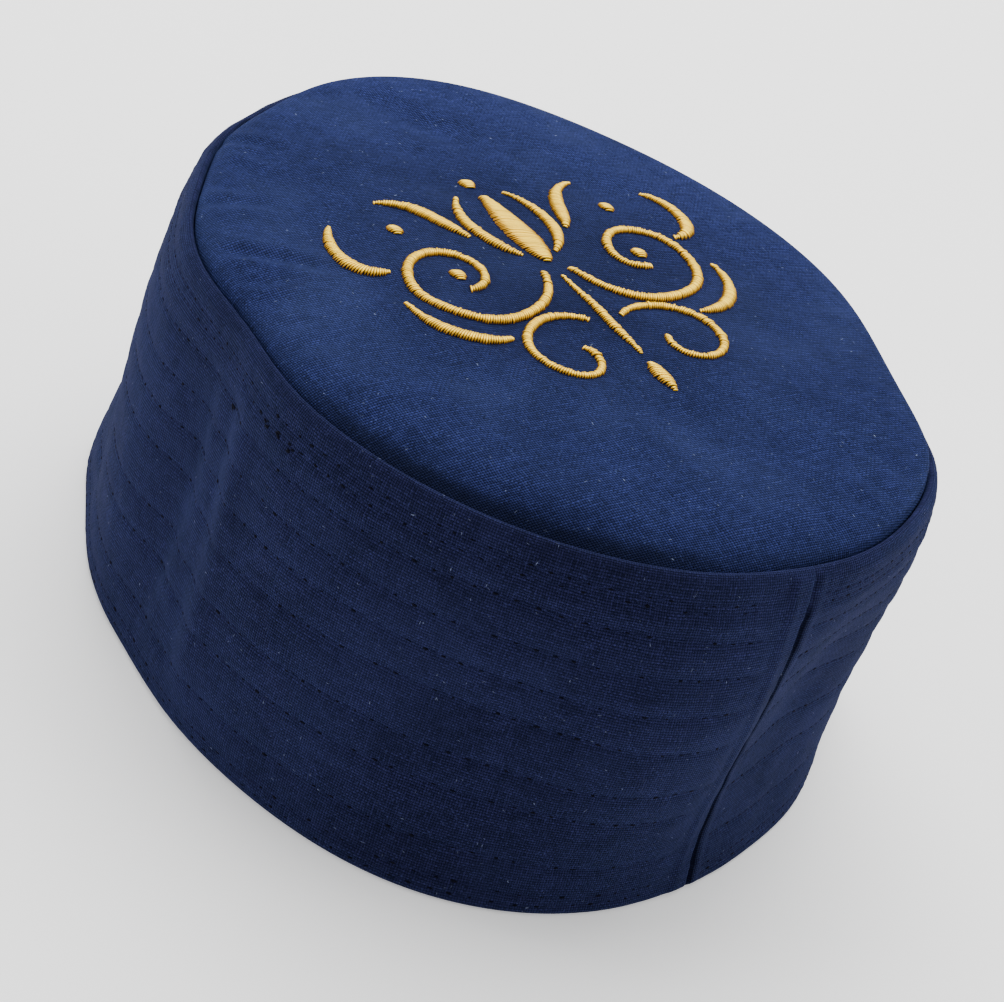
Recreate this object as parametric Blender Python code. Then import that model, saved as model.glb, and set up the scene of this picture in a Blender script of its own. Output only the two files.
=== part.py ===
"""A kufi cap: an upright quilted band of navy cloth, an oval crown panel, and gold satin embroidery.

The cap stands on its hem with the front towards -Y and the back seam at +Y. Metres, +Z up.
"""

import math
from collections import namedtuple

import bpy
import numpy as np
from mathutils import Matrix, Vector

# Driving sizes of the band
HEM_WIDTH = 0.174
HEM_LENGTH = 0.188
BAND_HEIGHT = 0.0875
BAND_WALL = 0.0028
LIP_RISE = 0.0014
LIP_SHOULDER = 0.0010
HEM_ROUND = 0.0006
FOLD_DEPTH = 0.0022

# Driving sizes of the crown
CROWN_CLOTH = 0.0015
CROWN_SHOULDER = 0.0038
SHOULDER_REACH = 0.0075
CROWN_DOME = 0.0030
CROWN_DENT = 0.0012
SEAM_ALLOWANCE = 0.0090
SEAM_CLEARANCE = 0.0003

# Driving sizes of the embroidery, whose top points to the front of the cap
MOTIF_HALF_WIDTH = 0.0500
MOTIF_OFFSET_SIDE = 0.0030
MOTIF_OFFSET_FRONT = 0.0080
STROKE_WIDTH = 0.0030
BUD_WIDTH = 0.0080
DOT_WIDTH = 0.0032
STITCH_RELIEF = 0.0008
STITCH_CLEARANCE = 0.0003

# The plan oval is a superellipse, where 2 would be a plain ellipse
ROUNDNESS = 2.05
COLUMNS = 100
CURVE_TURN = 20
SHARP_ANGLE = 50

# Angles are plan angles in degrees from +X, counterclockwise, so the back seam is at 90
Section = namedtuple("Section", "height width length")
Dent = namedtuple("Dent", "name angle height around up depth")
Fold = namedtuple("Fold", "name top_angle foot_angle low high around depth")
Sag = namedtuple("Sag", "name side back reach_side reach_back depth")

# Heights are shares of BAND_HEIGHT, widths and lengths are shares of HEM_WIDTH and HEM_LENGTH
SECTIONS = (
    Section(height=0.00, width=0.985, length=0.985),
    Section(height=0.33, width=1.000, length=0.965),
    Section(height=0.67, width=0.985, length=0.995),
    Section(height=1.00, width=0.930, length=0.980),
)

# Broad bulges and hollows of the band: depth is a share of the oval's radius there, outward positive
DENTS = (
    Dent("front_corner", angle=254, height=1.00, around=22, up=0.50, depth=0.065),
    Dent("front_shoulder", angle=278, height=0.85, around=28, up=0.25, depth=0.055),
    Dent("front_edge", angle=286, height=1.00, around=10, up=0.30, depth=-0.022),
    Dent("front_flat", angle=311, height=1.00, around=15, up=0.50, depth=-0.025),
    Dent("back_corner", angle=104, height=1.00, around=14, up=0.35, depth=0.030),
    Dent("back_lip", angle=127, height=1.00, around=12, up=0.30, depth=0.030),
    Dent("far_corner", angle=152, height=1.00, around=20, up=0.40, depth=-0.050),
    Dent("seam_hollow", angle=105, height=0.50, around=10, up=0.35, depth=-0.070),
    Dent("back_flare", angle=154, height=0.15, around=15, up=0.30, depth=0.070),
    Dent("seam_stiffness", angle=75, height=0.50, around=14, up=0.35, depth=0.075),
    Dent("hem_side", angle=54, height=0.00, around=28, up=0.35, depth=0.070),
    Dent("side_waist", angle=353, height=0.60, around=14, up=0.50, depth=-0.075),
    Dent("hem_front", angle=298, height=0.05, around=16, up=0.30, depth=0.095),
    Dent("far_waist", angle=196, height=0.50, around=34, up=0.30, depth=-0.020),
)

# Narrow folds that run down the band: depth is a share of FOLD_DEPTH, outward positive
FOLDS = (
    Fold("side_ridge", top_angle=0, foot_angle=4, low=0.05, high=0.97, around=5, depth=0.5),
    Fold("side_valley", top_angle=350, foot_angle=355, low=0.05, high=0.97, around=5, depth=-0.9),
    Fold("side_swell", top_angle=341, foot_angle=341, low=0.00, high=0.85, around=8, depth=0.5),
    Fold("front_crease", top_angle=312, foot_angle=320, low=0.00, high=0.60, around=5, depth=-0.7),
    Fold("seam_edge", top_angle=86, foot_angle=83, low=0.05, high=0.95, around=4, depth=0.5),
    Fold("seam_valley", top_angle=94, foot_angle=92, low=0.05, high=0.95, around=4, depth=-0.4),
    Fold("back_wrinkle", top_angle=122, foot_angle=98, low=0.05, high=0.45, around=5, depth=0.7),
    Fold("far_fold", top_angle=205, foot_angle=212, low=0.05, high=0.90, around=6, depth=-0.5),
)

# Shallow hollows of the crown: places and reaches are shares of the seam's half width and half
# length, depth is a share of CROWN_DENT, upward positive
SAGS = (
    Sag("front_hollow", side=-0.06, back=-0.76, reach_side=0.20, reach_back=0.14, depth=-1.0),
    Sag("middle_ease", side=0.05, back=0.15, reach_side=0.50, reach_back=0.45, depth=-0.5),
    Sag("side_ease", side=0.70, back=-0.20, reach_side=0.20, reach_back=0.30, depth=-0.4),
)

# Embroidered shapes, right of the motif's middle line: places are shares of MOTIF_HALF_WIDTH,
# across and up, and widths are shares of STROKE_WIDTH
Scroll = namedtuple("Scroll", "name across up start end outer inner width")
Leaf = namedtuple("Leaf", "name points width")
Dot = namedtuple("Dot", "name across up")

SCROLLS = (
    Scroll("scroll", across=0.51, up=0.04, start=186, end=630, outer=0.44, inner=0.10, width=0.80),
    Scroll("base_scroll", across=0.31, up=-0.60, start=136, end=-215, outer=0.31, inner=0.085, width=0.65),
)
PAIRED_LEAVES = (
    Leaf("sepal", ((0.09, 0.13), (0.19, 0.26), (0.215, 0.44), (0.13, 0.62)), width=0.95),
    Leaf("crest_leaf", ((0.27, 0.30), (0.33, 0.42), (0.40, 0.56), (0.56, 0.66)), width=1.10),
    Leaf("wing_leaf", ((0.80, 0.14), (0.93, 0.20), (0.96, 0.35), (0.88, 0.52)), width=1.10),
    Leaf("under_leaf", ((0.52, -0.42), (0.68, -0.40), (0.81, -0.28), (0.86, -0.08)), width=1.00),
)
PAIRED_DOTS = (Dot("scroll_eye", across=0.51, up=0.04), Dot("side_dot", across=0.60, up=0.42))
TOP_DOT = Dot("top_dot", across=0.0, up=0.72)
STEM_POINTS = ((0.0, -0.66), (0.0, -0.46), (0.0, -0.26), (0.0, -0.05))
BUD_POINTS = ((0.0, 0.06), (0.0, 0.22), (0.0, 0.40), (0.0, 0.60))
DROP_POINTS = ((0.0, -0.72), (0.0, -0.79), (0.0, -0.86), (0.0, -0.92))
STEM_WIDTH_SHARE = 0.65
DROP_WIDTH_SHARE = 1.15

LEAF_STATIONS = 9
DOT_SIDES = 10

# Shares of a stroke's full width: at a leaf's tips, at a scroll's start and at its eye
TIP_SHARE = 0.16
START_SHARE = 0.50
EYE_SHARE = 0.65

# Where a scroll reaches its full width, as a share of its length, and the power that moves a
# leaf's widest place towards its end
SCROLL_FULL_AT = 0.125
LEAF_BALANCE = 0.85

BAND_LEVELS = (0.08, 0.17, 0.27, 0.37, 0.47, 0.57, 0.67, 0.77, 0.86, 0.94)
LINING_LEVELS = (0.90, 0.75, 0.60, 0.45, 0.30, 0.15)
LIP_STEPS = 4
SHOULDER_STEPS = (0.0, 0.04, 0.15, 0.40, 1.0)
DOME_RINGS = (0.75, 0.50, 0.25)

# A stroke's cross section, as shares of its half width and of STITCH_RELIEF
STROKE_SECTION = ((-1.0, 0.0), (1.0, 0.0), (0.62, 0.78), (0.0, 1.0), (-0.62, 0.78))

CROWN_COLOUR = (0.020, 0.045, 0.145, 1.0)
BAND_COLOUR = (0.012, 0.022, 0.070, 1.0)
GOLD_COLOUR = (0.700, 0.400, 0.090, 1.0)
CLOTH_ROUGHNESS = 0.85
THREAD_ROUGHNESS = 0.45


def clear_scene():
    """Remove whatever the scene holds."""
    for obj in list(bpy.data.objects):
        bpy.data.objects.remove(obj, do_unlink=True)


def material(name, colour, roughness):
    """A plain cloth or thread finish."""
    made = bpy.data.materials.new(name)
    made.use_nodes = True
    shader = made.node_tree.nodes["Principled BSDF"]
    shader.inputs["Base Color"].default_value = colour
    shader.inputs["Roughness"].default_value = roughness
    shader.inputs["Metallic"].default_value = 0.0
    return made


def bell(offset, reach):
    """A soft bump that is 1 at no offset and fades out past its reach."""
    return math.exp(-((offset / reach) ** 2))


def turn_between(angle, other):
    """The signed turn from one plan angle to another, in degrees, the short way round."""
    return (angle - other + 180.0) % 360.0 - 180.0


def section_share(column, height):
    """A smooth curve through one column of SECTIONS, read at a height share."""
    heights = [row.height for row in SECTIONS]
    shares = [getattr(row, column) for row in SECTIONS]
    return float(np.polyval(np.polyfit(heights, shares, len(SECTIONS) - 1), height))


def oval_radius(angle, height):
    """The band's plain oval, before any dent, at a plan angle and a height share."""
    half_width = HEM_WIDTH / 2 * section_share("width", height)
    half_length = HEM_LENGTH / 2 * section_share("length", height)
    across = abs(math.cos(math.radians(angle)) / half_width) ** ROUNDNESS
    along = abs(math.sin(math.radians(angle)) / half_length) ** ROUNDNESS
    return (across + along) ** (-1 / ROUNDNESS)


def wall_radius(angle, height):
    """The band's outer face with its dents and folds, at a plan angle and a height share."""
    swell = 1.0
    for dent in DENTS:
        nearness = bell(turn_between(angle, dent.angle), dent.around)
        swell += dent.depth * nearness * bell(height - dent.height, dent.up)
    radius = oval_radius(angle, height) * swell
    for fold in FOLDS:
        along = (height - fold.low) / (fold.high - fold.low)
        if 0.0 < along < 1.0:
            lean = turn_between(fold.top_angle, fold.foot_angle) * height
            nearness = bell(turn_between(angle, fold.foot_angle + lean), fold.around)
            radius += FOLD_DEPTH * fold.depth * nearness * math.sin(math.pi * along)
    return radius


def plan_point(angle, radius, level):
    """A point at a plan angle and radius about the oval's own middle."""
    turn = math.radians(angle)
    return Vector((radius * math.cos(turn), radius * math.sin(turn), level))


def seam_radius(angle):
    """The crown's edge where it meets the inside of the band's lip."""
    return wall_radius(angle, 1.0) - BAND_WALL - SEAM_CLEARANCE


def shoulder_rise(inset, reach, rise):
    """A quarter ellipse: the crown's height over its seam at a distance in from its edge."""
    near = min(max(inset / reach, 0.0), 1.0)
    return rise * math.sqrt(1.0 - (1.0 - near) ** 2)


def sag_at(side, back):
    """The crown's shallow hollows at a place given in shares of the seam's half sizes."""
    total = 0.0
    for sag in SAGS:
        total += sag.depth * bell(side - sag.side, sag.reach_side) * bell(back - sag.back, sag.reach_back)
    return CROWN_DENT * total


def crown_level(angle, radius, cloth=0.0):
    """The height of the crown's outer face, or of the face one cloth thickness under it."""
    edge = seam_radius(angle)
    share = radius / edge
    half_width = seam_radius(0)
    half_length = seam_radius(90)
    side = radius * math.cos(math.radians(angle)) / half_width
    back = radius * math.sin(math.radians(angle)) / half_length
    rise = shoulder_rise(edge - cloth - radius, SHOULDER_REACH - cloth, CROWN_SHOULDER - cloth)
    fade = min(1.0, (edge - radius) / SHOULDER_REACH)
    return BAND_HEIGHT + rise + CROWN_DOME * (1.0 - share**2) + sag_at(side, back) * max(fade, 0.0)


def column_angles():
    """The plan angles of the mesh columns, one of them on the back seam."""
    return [360.0 * column / COLUMNS for column in range(COLUMNS)]


def footprint_middle():
    """The middle of the band's outline in plan, about the oval's own middle."""
    points = []
    for angle in column_angles():
        for height in (0.0, *BAND_LEVELS, 1.0):
            points.append(plan_point(angle, wall_radius(angle, height), 0.0))
    xs = [point.x for point in points]
    ys = [point.y for point in points]
    return Vector(((min(xs) + max(xs)) / 2, (min(ys) + max(ys)) / 2, 0.0))


def add_object(name, points, faces, finish):
    """One smooth shaded object from its points and faces."""
    mesh = bpy.data.meshes.new(name)
    mesh.from_pydata(points, [], faces)
    mesh.materials.append(finish)
    mesh.shade_smooth()
    mesh.set_sharp_from_angle(angle=math.radians(SHARP_ANGLE))
    mesh.update()
    obj = bpy.data.objects.new(name, mesh)
    bpy.context.scene.collection.objects.link(obj)
    return obj


def band_between(lower, upper, count):
    """The quads between two closed rings of points, given the index of each ring's first point."""
    faces = []
    for column in range(count):
        after = (column + 1) % count
        faces.append((lower + column, lower + after, upper + after, upper + column))
    return faces


def band_profile(angle):
    """One column of the band: up the outer face, over the lip, down the inside, as radius and level."""
    foot_radius = wall_radius(angle, 0.0)
    profile = [(foot_radius - HEM_ROUND, 0.0), (foot_radius, HEM_ROUND)]
    for height in BAND_LEVELS:
        profile.append((wall_radius(angle, height), BAND_HEIGHT * height))
    top_radius = wall_radius(angle, 1.0)
    for step in range(LIP_STEPS + 1):
        turn = math.pi * step / LIP_STEPS
        inset = BAND_WALL / 2 * (1.0 - math.cos(turn))
        rise = (LIP_RISE + LIP_SHOULDER) * math.sin(turn) - LIP_SHOULDER
        profile.append((top_radius - inset, BAND_HEIGHT + rise))
    for height in LINING_LEVELS:
        profile.append((wall_radius(angle, height) - BAND_WALL, BAND_HEIGHT * height))
    profile.append((foot_radius - BAND_WALL, HEM_ROUND))
    profile.append((foot_radius - BAND_WALL + HEM_ROUND, 0.0))
    return profile


def build_side_band(finish):
    """The upright band: a closed ring of quilted cloth, open below and above."""
    columns = [band_profile(angle) for angle in column_angles()]
    points = []
    for station in range(len(columns[0])):
        for angle, column in zip(column_angles(), columns):
            points.append(plan_point(angle, *column[station]))
    faces = []
    stations = len(columns[0])
    for station in range(stations):
        after = (station + 1) % stations
        faces += band_between(station * COLUMNS, after * COLUMNS, COLUMNS)
    return add_object("side_band", points, faces, finish)


def crown_profile(angle, cloth):
    """One column of a crown face, from its turned-down edge to the ring nearest the middle."""
    edge = seam_radius(angle)
    rim = edge - cloth
    profile = [(rim, BAND_HEIGHT - SEAM_ALLOWANCE)]
    for step in SHOULDER_STEPS:
        radius = rim - (SHOULDER_REACH - cloth) * step
        profile.append((radius, crown_level(angle, radius, cloth)))
    for share in DOME_RINGS:
        radius = (edge - SHOULDER_REACH) * share
        profile.append((radius, crown_level(angle, radius, cloth)))
    return profile


def build_crown_panel(finish):
    """The oval top with its edge turned down inside the band: an outer and an inner face."""
    points = []
    faces = []
    for cloth in (0.0, CROWN_CLOTH):
        first = len(points)
        columns = [crown_profile(angle, cloth) for angle in column_angles()]
        for station in range(len(columns[0])):
            for angle, column in zip(column_angles(), columns):
                points.append(plan_point(angle, *column[station]))
        side = []
        for station in range(len(columns[0]) - 1):
            lower = first + station * COLUMNS
            side += band_between(lower, lower + COLUMNS, COLUMNS)
        last = first + (len(columns[0]) - 1) * COLUMNS
        points.append(plan_point(0.0, 0.0, crown_level(0.0, 0.0, cloth)))
        middle = len(points) - 1
        for column in range(COLUMNS):
            side.append((last + column, last + (column + 1) % COLUMNS, middle))
        if cloth:
            side = [tuple(reversed(face)) for face in side]
            faces += band_between(first, 0, COLUMNS)
        faces += side
    return add_object("crown_panel", points, faces, finish)


def smooth_line(points, count):
    """A smooth curve through four points, as evenly stepped stations."""
    knots = np.linspace(0.0, 1.0, len(points))
    across = np.polyfit(knots, [point[0] for point in points], len(points) - 1)
    along = np.polyfit(knots, [point[1] for point in points], len(points) - 1)
    steps = np.linspace(0.0, 1.0, count)
    return [(float(np.polyval(across, step)), float(np.polyval(along, step))) for step in steps]


def scroll_line(scroll):
    """A spiral that winds in from the stem at an even rate, as stations along it."""
    count = int(abs(scroll.end - scroll.start) / CURVE_TURN) + 1
    line = []
    for step in np.linspace(0.0, 1.0, count):
        turn = math.radians(scroll.start + (scroll.end - scroll.start) * step)
        reach = scroll.outer * (scroll.inner / scroll.outer) ** step
        line.append((scroll.across + reach * math.cos(turn), scroll.up + reach * math.sin(turn)))
    return line


def leaf_widths(count, width):
    """Half widths of a leaf: a point at each end, widest a little before its middle."""
    steps = np.linspace(0.0, 1.0, count)
    full = [math.sin(math.pi * step**LEAF_BALANCE) for step in steps]
    return [width / 2 * (TIP_SHARE + (1.0 - TIP_SHARE) * share) for share in full]


def scroll_widths(count, width):
    """Half widths of a scroll: soon full after its start, then thinner towards its eye."""
    widths = []
    for step in np.linspace(0.0, 1.0, count):
        opening = min(1.0, START_SHARE + (1.0 - START_SHARE) * step / SCROLL_FULL_AT)
        taper = 1.0 - (1.0 - EYE_SHARE) * step
        widths.append(width / 2 * opening * taper)
    return widths


def on_crown(across, along, rise):
    """A point over the crown at a place of the motif, in metres from the motif's middle."""
    x = -MOTIF_OFFSET_SIDE - across
    y = -MOTIF_OFFSET_FRONT - along
    angle = math.degrees(math.atan2(y, x))
    level = crown_level(angle, math.hypot(x, y))
    return Vector((x, y, level + STITCH_CLEARANCE + rise))


def build_stroke(name, line, half_widths, finish, mirrored=False):
    """A raised satin stroke along a line given in shares of the motif's half width."""
    side = -1.0 if mirrored else 1.0
    track = [Vector((side * across, along)) * MOTIF_HALF_WIDTH for across, along in line]
    points = []
    for index, place in enumerate(track):
        ahead = track[min(index + 1, len(track) - 1)]
        behind = track[max(index - 1, 0)]
        heading = (ahead - behind).normalized()
        normal = Vector((-heading.y, heading.x))
        for offset, rise in STROKE_SECTION:
            spot = place + normal * (offset * half_widths[index])
            points.append(on_crown(spot.x, spot.y, rise * STITCH_RELIEF))
    count = len(STROKE_SECTION)
    faces = []
    for index in range(len(track) - 1):
        faces += band_between(index * count, (index + 1) * count, count)
    faces.append(tuple(reversed(range(count))))
    faces.append(tuple(range(len(points) - count, len(points))))
    return add_object(name, points, faces, finish)


def build_dot(name, dot, finish, mirrored=False):
    """A small round padded dot of satin stitch."""
    side = -1.0 if mirrored else 1.0
    middle = Vector((side * dot.across, dot.up)) * MOTIF_HALF_WIDTH
    points = []
    for radius, rise in STROKE_SECTION[1:3]:
        for step in range(DOT_SIDES):
            turn = 2 * math.pi * step / DOT_SIDES
            spot = middle + Vector((math.cos(turn), math.sin(turn))) * (DOT_WIDTH / 2 * radius)
            points.append(on_crown(spot.x, spot.y, rise * STITCH_RELIEF))
    points.append(on_crown(middle.x, middle.y, STITCH_RELIEF))
    faces = band_between(0, DOT_SIDES, DOT_SIDES)
    for step in range(DOT_SIDES):
        faces.append((DOT_SIDES + step, DOT_SIDES + (step + 1) % DOT_SIDES, 2 * DOT_SIDES))
    faces.append(tuple(reversed(range(DOT_SIDES))))
    return add_object(name, points, faces, finish)


def build_embroidery(finish):
    """The gold ornament: a bud on a stem, with mirrored scrolls, leaves and dots."""
    middle_strokes = (
        ("bud", BUD_POINTS, BUD_WIDTH),
        ("stem", STEM_POINTS, STROKE_WIDTH * STEM_WIDTH_SHARE),
        ("drop", DROP_POINTS, STROKE_WIDTH * DROP_WIDTH_SHARE),
    )
    for name, points, width in middle_strokes:
        line = smooth_line(points, LEAF_STATIONS)
        build_stroke("embroidery_" + name, line, leaf_widths(LEAF_STATIONS, width), finish)
    build_dot("embroidery_" + TOP_DOT.name, TOP_DOT, finish)
    for mirrored, hand in ((False, "right"), (True, "left")):
        for scroll in SCROLLS:
            line = scroll_line(scroll)
            widths = scroll_widths(len(line), STROKE_WIDTH * scroll.width)
            build_stroke(f"embroidery_{scroll.name}_{hand}", line, widths, finish, mirrored)
        for leaf in PAIRED_LEAVES:
            line = smooth_line(leaf.points, LEAF_STATIONS)
            widths = leaf_widths(LEAF_STATIONS, STROKE_WIDTH * leaf.width)
            build_stroke(f"embroidery_{leaf.name}_{hand}", line, widths, finish, mirrored)
        for dot in PAIRED_DOTS:
            build_dot(f"embroidery_{dot.name}_{hand}", dot, finish, mirrored)


def set_origin():
    """Shift every mesh so that the middle of the cap's outline in plan is the origin."""
    shift = Matrix.Translation(-footprint_middle())
    for obj in bpy.data.objects:
        obj.data.transform(shift)


def main():
    """Build the whole cap."""
    clear_scene()
    build_side_band(material("band_cloth", BAND_COLOUR, CLOTH_ROUGHNESS))
    build_crown_panel(material("crown_cloth", CROWN_COLOUR, CLOTH_ROUGHNESS))
    build_embroidery(material("gold_thread", GOLD_COLOUR, THREAD_ROUGHNESS))
    set_origin()


main()
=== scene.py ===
"""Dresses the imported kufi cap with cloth, quilting stitches, satin embroidery, lint and a studio.

The cap stands on its hem with the front towards -Y and the back seam at +Y. Metres, +Z up.
Angles round the cap are plan angles in degrees from +X, so the back seam is at 90.
"""

import logging
import math
from collections.abc import Callable, Iterable, Sequence
from dataclasses import dataclass, field
from enum import Enum

import bmesh
import bpy
import numpy as np
from mathutils import Matrix, Vector
from mathutils.bvhtree import BVHTree


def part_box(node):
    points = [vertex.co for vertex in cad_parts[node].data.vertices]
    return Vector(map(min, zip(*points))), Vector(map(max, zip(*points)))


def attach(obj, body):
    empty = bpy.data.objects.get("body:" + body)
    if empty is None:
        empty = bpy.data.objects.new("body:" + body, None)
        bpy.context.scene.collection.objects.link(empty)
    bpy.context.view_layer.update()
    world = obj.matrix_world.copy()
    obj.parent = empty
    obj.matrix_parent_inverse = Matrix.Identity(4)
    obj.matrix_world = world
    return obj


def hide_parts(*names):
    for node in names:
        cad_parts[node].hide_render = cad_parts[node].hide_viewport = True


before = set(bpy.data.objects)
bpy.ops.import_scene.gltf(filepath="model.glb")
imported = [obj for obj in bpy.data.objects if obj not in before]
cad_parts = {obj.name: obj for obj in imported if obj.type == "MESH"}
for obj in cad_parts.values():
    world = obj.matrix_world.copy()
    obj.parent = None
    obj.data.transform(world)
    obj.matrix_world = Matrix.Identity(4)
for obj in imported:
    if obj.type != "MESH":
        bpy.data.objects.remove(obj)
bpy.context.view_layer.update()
LOG = logging.getLogger("kufi_cap")

BACK_SEAM = 90.0
MILLIMETRE = 0.001

Colour = tuple[float, float, float, float]


class Lay(Enum):
    """Where a pattern takes its place from."""

    UV = "UV"
    OBJECT = "Object"


class Value:
    """A shader socket that adds Math nodes where it is used in an expression."""

    def __init__(self, nodes: "Nodes", socket: bpy.types.NodeSocket) -> None:
        """Keep the socket and the node tree that it belongs to."""
        self.nodes = nodes
        self.socket = socket

    def _math(self, operation: str, first: object, second: object = 0.0) -> "Value":
        """Add one Math node."""
        return self.nodes.add("ShaderNodeMath", {"operation": operation}, {0: first, 1: second})

    def __add__(self, other: object) -> "Value":
        """Add."""
        return self._math("ADD", self, other)

    def __radd__(self, other: object) -> "Value":
        """Add, reflected."""
        return self._math("ADD", other, self)

    def __sub__(self, other: object) -> "Value":
        """Subtract."""
        return self._math("SUBTRACT", self, other)

    def __rsub__(self, other: object) -> "Value":
        """Subtract, reflected."""
        return self._math("SUBTRACT", other, self)

    def __mul__(self, other: object) -> "Value":
        """Multiply."""
        return self._math("MULTIPLY", self, other)

    def __rmul__(self, other: object) -> "Value":
        """Multiply, reflected."""
        return self._math("MULTIPLY", other, self)

    def __truediv__(self, other: object) -> "Value":
        """Divide."""
        return self._math("DIVIDE", self, other)

    def __pow__(self, power: object) -> "Value":
        """Raise to a power."""
        return self._math("POWER", self, power)

    def __mod__(self, other: object) -> "Value":
        """The remainder, never negative."""
        return self._math("FLOORED_MODULO", self, other)

    def __lt__(self, other: object) -> "Value":
        """One where this is less than the other."""
        return self._math("LESS_THAN", self, other)

    def __gt__(self, other: object) -> "Value":
        """One where this is more than the other."""
        return self._math("GREATER_THAN", self, other)

    def __abs__(self) -> "Value":
        """The size without its sign."""
        return self._math("ABSOLUTE", self)

    def floor(self) -> "Value":
        """The whole number below."""
        return self._math("FLOOR", self)

    def fraction(self) -> "Value":
        """The part past the whole number below."""
        return self._math("FRACT", self)

    def cosine(self) -> "Value":
        """The cosine, in radians."""
        return self._math("COSINE", self)

    def larger(self, other: object) -> "Value":
        """The larger of two values."""
        return self._math("MAXIMUM", self, other)

    def smaller(self, other: object) -> "Value":
        """The smaller of two values."""
        return self._math("MINIMUM", self, other)

    def fade(self, low: float, high: float) -> "Value":
        """Zero at low and one at high, with soft ends."""
        settings = {"interpolation_type": "SMOOTHSTEP"}
        return self.nodes.add("ShaderNodeMapRange", settings, {0: self, 1: low, 2: high})


class Nodes:
    """The node tree of one material, with its Principled shader."""

    def __init__(self, name: str) -> None:
        """Make the material."""
        self.material = bpy.data.materials.new(name)
        self.material.use_nodes = True
        self.tree = self.material.node_tree
        self.shader = self.tree.nodes["Principled BSDF"]

    def add(self, kind: str, settings: dict, sockets: dict, output: int | str = 0) -> Value:
        """Add one node.

        Args:
            kind: The node's type.
            settings: Its own settings, set before its sockets.
            sockets: What its sockets hold, a number, a colour or a Value each.
            output: Which output is wanted.

        Returns:
            The wanted output.
        """
        node = self.tree.nodes.new(kind)
        for name, setting in settings.items():
            setattr(node, name, setting)
        for key, given in sockets.items():
            self.feed(node.inputs[key], given)
        return Value(self, node.outputs[output])

    def feed(self, socket: bpy.types.NodeSocket, given: object) -> None:
        """Link a Value to a socket, or set the socket's own number or colour."""
        if isinstance(given, Value):
            self.tree.links.new(given.socket, socket)
        else:
            socket.default_value = given

    def dress(self, **sockets: object) -> bpy.types.Material:
        """Set the shader's sockets, named with underlines for spaces.

        Args:
            sockets: A number, a colour or a Value for each socket.

        Returns:
            The finished material.
        """
        for name, given in sockets.items():
            self.feed(self.shader.inputs[name.replace("_", " ")], given)
        return self.material

    def place(self, lay: Lay) -> Value:
        """The place on the surface, in metres."""
        return self.add("ShaderNodeTexCoord", {}, {}, lay.value)

    def axis(self, vector: Value, name: str) -> Value:
        """One coordinate of a vector."""
        return self.add("ShaderNodeSeparateXYZ", {}, {0: vector}, name)

    def vector(self, x: object, y: object, z: object = 0.0) -> Value:
        """A vector from its coordinates."""
        return self.add("ShaderNodeCombineXYZ", {}, {0: x, 1: y, 2: z})

    def attribute(self, name: str) -> Value:
        """A number that the mesh keeps for each point."""
        return self.add("ShaderNodeAttribute", {"attribute_name": name}, {}, "Fac")

    def noise(self, place: Value, scale: float, detail: float = 2.0) -> Value:
        """Soft noise about one half."""
        settings = {"noise_dimensions": "3D"}
        return self.add("ShaderNodeTexNoise", settings, {"Vector": place, "Scale": scale, "Detail": detail})

    def chance(self, index: Value) -> Value:
        """A steady random number from 0 to 1 for each index."""
        return self.add("ShaderNodeTexWhiteNoise", {"noise_dimensions": "1D"}, {"W": index})

    def mix(self, share: object, first: object, second: object) -> Value:
        """Mix two colours."""
        return self.add("ShaderNodeMix", {"data_type": "RGBA"}, {0: share, 6: first, 7: second}, 2)

    def tint(self, colour: Value, amount: Value) -> Value:
        """Scale a colour's lightness."""
        settings = {"operation": "SCALE"}
        return self.add("ShaderNodeVectorMath", settings, {0: colour, "Scale": amount})

    def bump(self, height: Value, distance: float, strength: float = 1.0) -> Value:
        """A surface normal from a height of 0 to 1 and the distance that one stands for."""
        sockets = {"Height": height, "Distance": distance, "Strength": strength}
        return self.add("ShaderNodeBump", {}, sockets)


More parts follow.
